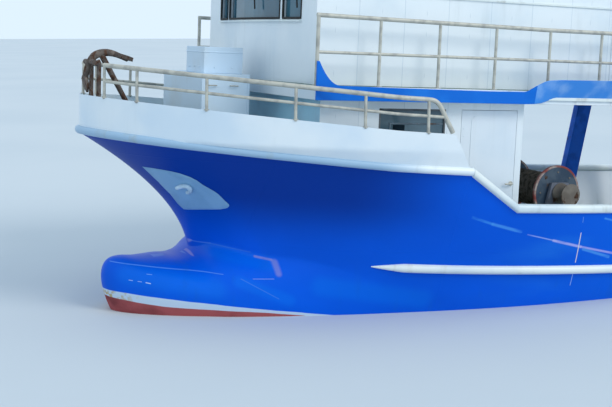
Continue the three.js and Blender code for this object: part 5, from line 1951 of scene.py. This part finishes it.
@dataclass
class TrawlGear(Assembly):
    """The working deck's gear: split winch, net drum, stern gantry and trawl doors."""

    winch: Pair = (3.0, 1.27)
    net: Pair = (-5.2, 1.42)
    net_half: float = 1.25
    gantry_x: float = -8.6

    def build(self) -> None:
        """Builds each machine."""
        for side in Side:
            self.winch_drum(side)
            self.board(side)
        self.winch_frame()
        self.net_drum()
        self.net_stand()
        self.gantry()

    def winch_drum(self, side: Side) -> None:
        """Builds a drum with its flanges, its layers of wire and the warping head outboard.

        Args:
            side: port or starboard.
        """
        x, z = self.winch
        mark = side.value
        shape = self.start(side.name_of("winch_drum"), Paint.DRUM, Paint.RIM, Paint.WIRE, Paint.WORN_HEAD)
        along = (0, mark, 0)
        shape.turned(ring_of(0, 0.045, 0.07, 1.44), (x, 0, z), along, 32, 3)
        for low, high, face, out in ((0.13, 0.17, 0.13, -mark), (1.31, 1.35, 1.35, mark)):
            disc = [(0.03, low), (0.36, low), (0.372, low), (0.372, high), (0.36, high), (0.03, high)]
            shape.turned(disc, (x, 0, z), along, 72, 0)
            shape.turned(ring_of(0.37, 0.4, low, high), (x, 0, z), along, 72, 1, closed=True)
            spots = [
                ((x + 0.3 * math.cos(a), mark * face, z + 0.3 * math.sin(a)), (0, out, 0))
                for a in even_angles(8)
            ]
            shape.bosses(spots, 0.014, 0.008, paint=3)
        shape.turned(ring_of(0.03, 0.235, 0.165, 1.315), (x, 0, z), along, 64, 2)
        turns, steps = 43, 26
        k = np.arange(turns * steps + 1)
        angle = 2 * math.pi * k / steps
        wide = 0.246 + 0.004 * np.sin(angle / 5)
        across = mark * (0.184 + 1.112 * k / k[-1])
        coil = np.stack([x + wide * np.cos(angle), across, z + wide * np.sin(angle)], axis=1)
        shape.pipes([(coil, 0.0135)], 8, 2)
        head = [
            (0, 1.4395), (0.15, 1.4395), (0.15, 1.455), (0.118, 1.49), (0.108, 1.55), (0.115, 1.61),
            (0.158, 1.66), (0.165, 1.68), (0.15, 1.68), (0, 1.68)
        ]
        shape.turned(head, (x, 0, z), along, 48, 3)
        shape.finish(side.name_of(Body.WINCH_DRUM.value), smooth=40, slot="machinery_steel")

    def winch_frame(self) -> None:
        """Dresses the winch's bed and cheeks with bearing caps, bolts and a rib."""
        x, z = self.winch
        shape = self.start("winch_frame", Paint.WINCH, Paint.MACHINE)
        shape.take()
        for y in (-1.425, -0.08, 0.08, 1.425):
            out = 1 if y > 0 else -1
            deep = 0.008 if abs(y) > 1 else 0.03
            shape.turned(
                ring_of(0.062, 0.13, 0, deep), (x, y - out * 0.001, z), (0, out, 0), 40, 1, closed=True
            )
        spots = [
            ((x + a, b, 0.49), (0, 0, 1)) for a in (-0.33, 0.33) for b in (-1.2, -0.7, -0.25, 0.25, 0.7, 1.2)
        ]
        shape.bosses(spots, 0.022, 0.03, paint=1)
        shape.box((x - 0.36, -0.6, 0.489), (x - 0.3, 0.6, 0.62), 0)
        shape.finish(bevel=0.008, slot="machinery_steel")

    def net_drum(self) -> None:
        """Winds the net on its drum: a lumpy roll between two dished flanges, with ropes laid over it."""
        x, z = self.net
        shape = self.start("net_drum", Paint.DRUM, Paint.NET, Paint.RIM, Paint.PALE_MACHINE)
        half = self.net_half
        shape.turned(ring_of(0, 0.05, -half - 0.09, half + 0.09), (x, 0, z), (0, 1, 0), 32, 3)
        for end in (-1, 1):
            disc = [
                (0.04, half - 0.04), (0.77, half - 0.04), (0.77, half), (0.6, half), (0.58, half - 0.01),
                (0.2, half - 0.01), (0.18, half), (0.04, half)
            ]
            shape.turned(disc, (x, 0, z), (0, end, 0), 80)
            shape.turned(ring_of(0.768, 0.8, half - 0.04, half), (x, 0, z), (0, end, 0), 80, 2, closed=True)
        random = np.random.default_rng(7)
        waves = [
            (random.integers(2, 15), random.uniform(1, 9), random.uniform(0, 6.3), random.uniform(0, 6.3))
            for _ in range(26)
        ]
        across = np.linspace(-half + 0.042, half - 0.042, 70)
        around = even_angles(140)

        def wound(y: np.ndarray, a: np.ndarray) -> np.ndarray:
            """Radius of the wound net.

            Args:
                y: places across the drum.
                a: angles round it.

            Returns:
                The radius at each.
            """
            lumps = sum(
                np.sin(n * a + m * y * 2 + p) * np.cos(m * y + q) / (1 + 0.12 * n) for n, m, p, q in waves
            )
            return 0.64 + 0.035 * (1 - (y / half) ** 2) + 0.0042 * lumps

        grid_y, grid_a = np.meshgrid(across, around, indexing="ij")
        radius = wound(grid_y, grid_a)
        rows = np.stack([x + radius * np.cos(grid_a), grid_y, z + radius * np.sin(grid_a)], axis=2)
        shape.skin(rows, 1, around=True)
        ropes = []
        for k in range(16):
            start, run = random.uniform(0, 2 * math.pi), random.uniform(2.5, 6.0)
            y0, y1 = random.uniform(-1.05, 1.05), random.uniform(-1.05, 1.05)
            t = np.linspace(0, 1, 60)
            a, y = start + run * t, y0 + (y1 - y0) * t + 0.05 * np.sin(9 * t + k)
            r = wound(y, a) + 0.004
            ropes.append((np.stack([x + r * np.cos(a), y, z + r * np.sin(a)], axis=1), 0.011))
        shape.pipes(ropes, 8, 1)
        shape.finish(Body.NET_DRUM.value, smooth=45, slot="net_twine")

    def net_stand(self) -> None:
        """Dresses the net drum's stands with bearing caps and a hydraulic motor."""
        x, z = self.net
        shape = self.start("net_drum_stand", Paint.MACHINE, Paint.PALE_MACHINE)
        shape.take()
        for end in (-1, 1):
            shape.turned(ring_of(0.07, 0.13, 0, 0.03), (x, end * 1.334, z), (0, end, 0), 40, 1, closed=True)
        motor = [(0, 0), (0.11, 0), (0.11, 0.05), (0.085, 0.06), (0.085, 0.24), (0.06, 0.26), (0, 0.26)]
        shape.turned(motor, (x, 1.355, z), (0, 1, 0), 32, 1)
        spots = [((x + a, e * 1.3, 0.62), (0, 0, 1)) for a in (-0.46, 0.46) for e in (-1, 1)]
        shape.bosses(spots, 0.022, 0.03, paint=1)
        shape.finish(bevel=0.01, slot="machinery_steel")

    def gantry(self) -> None:
        """Dresses the stern gantry with its hanging blocks, rungs and lamps."""
        x = self.gantry_x
        shape = self.start("stern_gantry", Paint.WHITE, Paint.IRON, Paint.LAMP, Paint.MACHINE)
        shape.take()
        paths = []
        for z in 0.95 + 0.42 * np.arange(9):
            rung = [(x + 0.1, 1.99, z), (x + 0.19, 1.99, z), (x + 0.19, 2.11, z), (x + 0.1, 2.11, z)]
            paths.append((rung, 0.011))
        shape.pipes(paths, 8, 3)
        tip = x - 0.36
        sheave = [(0.1, -0.028), (0.115, -0.016), (0.095, 0), (0.115, 0.016), (0.1, 0.028)]
        side = [(-0.05, 4.32), (0.05, 4.32), (0.09, 4.42), (0.03, 4.6), (-0.03, 4.6), (-0.09, 4.42)]
        side = [(tip + out, z) for out, z in side]
        for y in (-1.23, 1.23):
            shape.turned([(0, -0.028), *sheave, (0, 0.028)], (tip, y, 4.42), (0, 1, 0), 36, 1)
            for cheek in (y - 0.036, y + 0.036):
                shape.plate(side, cheek - 0.005, cheek + 0.005, 1)
            shape.pipes([([(tip, y, 4.58), (tip, y, 4.75)], 0.018)], 10, 1)
        for y in (-0.8, 0.8):
            shape.box((x + 0.11, y - 0.12, 4.82), (x + 0.17, y + 0.12, 4.98), 3)
            shape.box((x + 0.169, y - 0.1, 4.835), (x + 0.178, y + 0.1, 4.965), 2)
        shape.finish(bevel=0.01, slot="white_paint")

    def board(self, side: Side) -> None:
        """Dresses a trawl door with its ribs, its warp bracket and a short chain.

        Args:
            side: port or starboard.
        """
        shape = self.start(side.name_of("otter_board"), Paint.BOARDS, Paint.IRON)
        shape.take()
        mark = side.value
        low, high = sorted((mark * 2.199, mark * 2.222))
        for x in (-7.9, -7.4, -6.9):
            shape.box((x - 0.03, low, 1.15), (x + 0.03, high, 1.85), 0)
        shape.box((-8.1, low, 1.45), (-6.55, high, 1.51), 0)
        head, foot, apex = (-7.32, mark * 2.125, 1.72), (-7.32, mark * 2.125, 1.28), (-7.02, mark * 2.04, 1.5)
        legs = [([head, foot], 0.018), ([head, apex], 0.018), ([foot, apex], 0.018)]
        chain = [((-7.83 + 0.04 * k, mark * 2.11, 1.5), (0, -mark, 0)) for k in range(5)]
        shape.pipes(legs, 12, 1)
        shape.bosses(chain, 0.022, 0.03, 8, paint=1)
        shape.finish(bevel=0.008, slot="bare_iron")


@dataclass
class FishHold(Assembly):
    """The fish hold's coaming and its lifting cover."""

    aft: float = -3.1
    fore: float = -1.9
    half: float = 0.6

    def build(self) -> None:
        """Builds the coaming with its stays and the ribbed cover with handles and dogs."""
        shape = self.start("hatch_coaming", Paint.WHITE, Paint.MACHINE)
        shape.take()
        for side in (-1, 1):
            for x in (-2.9, -2.5, -2.1):
                y = sorted((side * self.half, side * (self.half + 0.06)))
                shape.box((x - 0.008, y[0], 0.38), (x + 0.008, y[1], 0.72))
        shape.finish(bevel=0.006, slot="white_paint")
        cover = self.start("hatch_cover", Paint.DECK, Paint.PIPE)
        cover.take()
        for y in (-0.3, 0, 0.3):
            cover.box((self.aft + 0.06, y - 0.02, 0.859), (self.fore - 0.06, y + 0.02, 0.874))
        grips = []
        for x, y in ((-2.98, -0.45), (-2.98, 0.45), (-2.02, -0.45), (-2.02, 0.45)):
            grip = [(x, y - 0.1, 0.855), (x, y - 0.1, 0.92), (x, y + 0.1, 0.92), (x, y + 0.1, 0.855)]
            grips.append((smooth_corners(grip, 0.03), 0.011))
        cover.pipes(grips, 10, 1)
        dogs = [((x, side * 0.56, 0.86), (0, 0, 1)) for x in (-2.9, -2.5, -2.1) for side in (-1, 1)]
        cover.bosses(dogs, 0.028, 0.03, 12, 0.018, paint=1)
        cover.finish(Body.HOLD_HATCH.value, bevel=0.006, slot="deck_paint")


@dataclass
class MastAndBoom(Assembly):
    """The mast with its crosstree, lamps and stays, and the topping boom."""

    x: float = 0.8
    foot: float = 2.7803
    top: float = 8.3
    heel: Pair = (0.55, 3.9)
    tip: Pair = (-4.6, 5.9)

    def build(self) -> None:
        """Builds the mast, the stays and the boom."""
        self.mast()
        self.stays()
        self.boom()

    def mast(self) -> None:
        """Rolls the tapered mast with its bands, cheeks, crosstree, steps and lamps."""
        x = self.x
        shape = self.start("mast", Paint.WHITE, Paint.PIPE, Paint.LAMP, Paint.MACHINE)
        length = self.top - self.foot
        profile = [(0.19, 0), (0.19, 0.03), (0.15, 0.05)]
        for share in (0.18, 0.42, 0.66, 0.9):
            bore, up = 0.15 - 0.08 * share, length * share
            profile += [
                (bore, up - 0.03), (bore + 0.008, up - 0.025), (bore + 0.008, up + 0.025), (bore, up + 0.03)
            ]
        profile += [(0.072, length - 0.02), (0.06, length), (0, length)]
        shape.turned([(0, 0), *profile], (x, 0, self.foot), (0, 0, 1), 48)
        pin_x, pin_z = self.heel
        cheek = [(-0.3, -0.05), (-0.26, -0.06), (-0.06, -0.06), (-0.06, 0.06), (-0.26, 0.06), (-0.3, 0.05)]
        for y in (-0.0575, 0.0575):
            shape.plate([(x + out, pin_z + up) for out, up in cheek], y - 0.0125, y + 0.0125, 3)
        paths = [
            ([(x, -0.9, 6.9), (x, 0.9, 6.9)], 0.04), ([(pin_x, -0.075, pin_z), (pin_x, 0.075, pin_z)], 0.022)
        ]
        paths += [([(x, s * 0.85, 6.9), (x, s * 0.09, 7.3)], 0.016) for s in (-1, 1)]
        for z in 3.6 + 0.4 * np.arange(11):
            bore = 0.15 - 0.08 * (z - self.foot) / length
            root, end = x + bore - 0.01, x + bore + 0.06
            paths.append(([(root, -0.09, z), (end, -0.09, z), (end, 0.09, z), (root, 0.09, z)], 0.009))
        shape.pipes(paths, 14, 1)
        hood = [(0, 0), (0.05, 0), (0.11, 0.09), (0.11, 0.11), (0, 0.11)]
        for y in (-0.7, 0.7):
            shape.turned(hood, (x - 0.04, y, 6.83), (-0.5, 0, -1), 28, 3)
            shape.turned([(0, 0.108), (0.1, 0.108), (0, 0.116)], (x - 0.04, y, 6.83), (-0.5, 0, -1), 28, 2)
        lantern = [(0, 0), (0.04, 0), (0.04, 0.1), (0.03, 0.115), (0, 0.12)]
        for z in (7.6, 8.0):
            shape.box((x + 0.05, -0.05, z - 0.012), (x + 0.2, 0.05, z), 3)
            shape.turned(lantern, (x + 0.15, 0, z), (0, 0, 1), 20, 2)
        shape.finish(smooth=40, slot="white_paint")

    def stays(self) -> None:
        """Sets up the mast's wire stays on their plates and rigging screws."""
        shape = self.start("mast_stays", Paint.WIRE, Paint.PIPE)
        wires, screws = [], []
        for side in (-1, 1):
            for foot in ((-1.3, side * 2.06, 2.79), (1.55, side * 1.75, 5.03)):
                head = Vector((self.x, side * 0.08, 7.95 if foot[0] < 0 else 7.7))
                start = Vector(foot)
                run = (head - start).normalized()
                wires.append(([tuple(start + run * 0.3), tuple(head)], 0.009))
                screws.append(([tuple(start), tuple(start + run * 0.06)], 0.011))
                screws.append(([tuple(start + run * 0.06), tuple(start + run * 0.26)], 0.017))
                screws.append(([tuple(start + run * 0.26), tuple(start + run * 0.32)], 0.011))
        shape.pipes(wires, 8)
        shape.pipes(screws, 10, 1)
        shape.finish(smooth=50)

    def boom(self) -> None:
        """Builds the boom with its heel fork, bands and the block at its end."""
        shape = self.start("boom", Paint.WHITE, Paint.MACHINE, Paint.IRON)
        x, z = self.heel
        fork = [
            (-0.16, -0.055), (0.02, -0.055), (0.045, -0.03), (0.05, 0), (0.045, 0.03), (0.02, 0.055),
            (-0.16, 0.055)
        ]
        for y in (-0.029, 0.029):
            shape.plate([(x + out, z + up) for out, up in fork], y - 0.009, y + 0.009, 1)
        shape.box((x - 0.16, -0.03, z - 0.05), (x - 0.04, 0.03, z + 0.05), 1)
        start, end = Vector((x - 0.12, 0, z + 0.01)), Vector((self.tip[0], 0, self.tip[1]))
        length = (end - start).length
        profile = [(0, 0), (0.07, 0), (0.075, 0.02)]
        for share in (0.3, 0.6, 0.94):
            bore, up = 0.075 - 0.0225 * share, length * share
            profile += [
                (bore, up - 0.025), (bore + 0.007, up - 0.02), (bore + 0.007, up + 0.02), (bore, up + 0.025)
            ]
        profile += [(0.0525, length - 0.02), (0.045, length), (0, length)]
        shape.turned(profile, tuple(start), tuple(end - start), 36)
        tip = start.lerp(end, 0.94)
        shape.pipes([([(tip.x, 0, tip.z - 0.05), (tip.x, 0, tip.z - 0.16)], 0.014)], 10, 2)
        sheave = [(0.085, -0.026), (0.1, -0.014), (0.082, 0), (0.1, 0.014), (0.085, 0.026)]
        shape.turned([(0, -0.026), *sheave, (0, 0.026)], (tip.x, 0, tip.z - 0.26), (0, 1, 0), 32, 2)
        rounded = [(tip.x + 0.07 * math.cos(a), tip.z - 0.25 + 0.12 * math.sin(a)) for a in even_angles(16)]
        for cheek in (-0.034, 0.034):
            shape.plate(rounded, cheek - 0.005, cheek + 0.005, 1)
        shape.finish(Body.BOOM.value, bevel=0.004, smooth=40, slot="white_paint")


@dataclass
class Funnel(Assembly):
    """The engine casing with its louvres and the exhaust pipe."""

    inner: float = 0.9
    outer: float = 1.6
    pipe: float = 0.085
    casing: tuple[Pair, ...] = ((-0.5, 2.7803), (0.4, 2.7803), (0.22, 4.28), (-0.56, 4.16))
    band: tuple[Pair, ...] = ((-0.545, 3.86), (0.265, 3.94), (0.25, 4.06), (-0.55, 3.98))

    def build(self) -> None:
        """Builds the casing, its band and louvres, and the open, sooted pipe."""
        shape = self.start("funnel", Paint.POST, Paint.TRIM, Paint.SOOT)
        shape.plate(self.casing, self.inner, self.outer)
        for y in (self.inner - 0.006, self.outer + 0.006):
            low, high = sorted((y, y + (0.007 if y < 1 else -0.007)))
            shape.plate(self.band, low, high, 1)
            for z in 3.05 + 0.075 * np.arange(8):
                deep = sorted((y, y + (0.022 if y > 1 else -0.022)))
                shape.box((-0.3, deep[0], z), (0.2, deep[1], z + 0.02), 0)
        start, end = Vector((-0.12, 1.25, 3.98)), Vector((-0.2, 1.25, 4.7))
        length = (end - start).length
        bore, floor = self.pipe - 0.012, length - 0.3
        profile = [(0, 0), (self.pipe, 0), (self.pipe, length), (bore, length), (bore, floor), (0, floor)]
        shape.turned(profile, tuple(start), tuple(end - start), 40, 2)
        shape.turned(
            ring_of(self.pipe - 0.002, self.pipe + 0.02, 0.22, 0.25), tuple(start), tuple(end - start), 40, 2,
            closed=True
        )
        shape.finish(bevel=0.012, smooth=40, slot="hull_blue")


@dataclass
class SternGear(Assembly):
    """The screw and the rudder."""

    screw: Pair = (-7.48, -1.38)
    radius: float = 0.48
    blades: int = 4
    stock_x: float = -8.35
    blade: Pair = (-8.12, -8.78)
    blade_thick: float = 0.07

    def build(self) -> None:
        """Builds both."""
        self.propeller()
        self.rudder()

    def propeller(self) -> None:
        """Casts the screw: a faired hub and twisted, skewed blades of aerofoil section."""
        x, z = self.screw
        shape = self.start("propeller", Paint.BRONZE)
        hub = [(0, 0), (0.1, 0), (0.1, 0.16), (0.085, 0.2), (0.062, 0.25), (0.03, 0.275), (0, 0.28)]
        shape.turned(hub, (x, 0, z), (-1, 0, 0), 48)
        around = even_angles(20)
        for blade in range(self.blades):
            turn = Matrix.Rotation(2 * math.pi * blade / self.blades, 3, "X")
            rows = []
            for share in np.linspace(0, 1, 15):
                r = 0.08 + (self.radius - 0.08) * share
                swell = math.sin(math.pi * (0.16 + 0.84 * share) ** 1.15) ** 0.7 if share < 1 else 0
                half = 0.165 * swell + 0.004
                pitch = math.radians(54 - 24 * share)
                thick = 0.02 * (1 - share) + 0.004
                row = []
                for a in around:
                    c, t = half * math.cos(a), thick * math.sin(a) * (1 + 0.4 * math.cos(a))
                    along = -c * math.cos(pitch) + t * math.sin(pitch) - 0.02 * share
                    across = c * math.sin(pitch) + t * math.cos(pitch) + 0.04 * share**2
                    row.append(turn @ Vector((along, across, r)))
                rows.append([(x - 0.126 + p.x, p.y, z + p.z) for p in row])
            shape.skin(rows, 0, True, True)
        shape.finish(Body.PROPELLER.value, smooth=40, slot="bronze")

    def rudder(self) -> None:
        """Plates the rudder's streamlined blade on its stock."""
        shape = self.start("rudder", Paint.HULL, Paint.PALE_MACHINE)
        (lead, trail), thick = self.blade, self.blade_thick
        share = (1 - np.cos(np.linspace(0, math.pi, 15))) / 2
        wing = 0.969 * np.sqrt(share) - 0.41 * share - 1.161 * share**2 + 1.029 * share**3 - 0.4265 * share**4
        half = thick / 2 * 2.98 * wing
        half = np.minimum(half, thick / 2)
        x = lead + (trail - lead) * share
        ring = [*zip(x, half)] + [(a, -b) for a, b in zip(x[-2:0:-1], half[-2:0:-1])]
        levels = ((-1.88, 0.5), (-1.87, 1), (-1.5, 1), (-1.1, 1), (-0.77, 1), (-0.76, 0.5))
        rows = [[(a, b * size, z) for a, b in ring] for z, size in levels]
        shape.skin(rows, 0, True, True)
        shape.rod((self.stock_x, 0, -0.6803), (self.stock_x, 0, -1.82), 0.0345, 1)
        shape.turned(ring_of(0, 0.045, 0, 0.07), (self.stock_x, 0, -0.7503), (0, 0, 1), 28, 1)
        shape.finish(Body.RUDDER.value, smooth=35, slot="hull_blue")


@dataclass
class Studio:
    """Floor, light and the camera."""

    stand: Point = (13.4, 15.02, 3.8)
    azimuth: float = 25.0
    elevation: float = 8.68
    lens: float = 67.65
    sunlight: Point = (0.42, -0.72, -0.62)
    floor_radius: float = 400.0

    def build(self) -> None:
        """Lays the floor at the water plane, sets the lights and aims the camera."""
        scene = bpy.context.scene
        scene.view_settings.view_transform = "Standard"
        data = bpy.data.meshes.new("floor")
        ring = [
            (self.floor_radius * math.cos(a), self.floor_radius * math.sin(a), 0) for a in even_angles(48)
        ]
        data.from_pydata(ring, [], [tuple(range(48))])
        coats = Coats("matt_studio_floor", "c6ced4", 0.95, Specular_IOR_Level=0.1)
        coats.cover(coats.patches(9000, 0.35, 0.7), "c1cad1")
        data.materials.append(coats.done())
        place("floor", data)
        world = bpy.data.worlds.new("studio")
        scene.world = world
        world.use_nodes = True
        back = world.node_tree.nodes["Background"]
        back.inputs[0].default_value = srgb("cfe0ee")
        back.inputs[1].default_value = 1.22
        lamp = bpy.data.lights.new("key", "SUN")
        lamp.energy = 1.25
        lamp.angle = math.radians(22)
        lamp.color = (1.0, 0.965, 0.9)
        place("key", lamp).rotation_euler = Vector(self.sunlight).to_track_quat("-Z", "Y").to_euler()
        turn, rise = math.radians(self.azimuth), math.radians(self.elevation)
        aim = Vector((-math.sin(turn) * math.cos(rise), -math.cos(turn) * math.cos(rise), -math.sin(rise)))
        lens = bpy.data.cameras.new("camera")
        lens.lens = self.lens
        lens.sensor_width = 36
        lens.clip_end = 1000
        camera = place("camera", lens)
        camera.location = self.stand
        camera.rotation_euler = aim.to_track_quat("-Z", "Y").to_euler()
        scene.camera = camera


ASSEMBLIES: tuple[type[Assembly], ...] = (
    HullPlating, SideTrim, Forecastle, LowerDeckhouse, UpperDeck, Bridge, TrawlGear, FishHold, MastAndBoom,
    Funnel, SternGear,
)


def main() -> None:
    """Builds the ship's sub-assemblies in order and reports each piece."""
    logging.basicConfig(level=logging.INFO, format="%(name)s: %(message)s")
    trees = Trees()
    for kind in ASSEMBLIES:
        assembly = kind(trees)
        assembly.build()
        for piece in assembly.made:
            log.info("%s: %s, %d faces", kind.__name__, piece.name, len(piece.data.polygons))
    Studio().build()


if __name__ == "__main__":
    main()
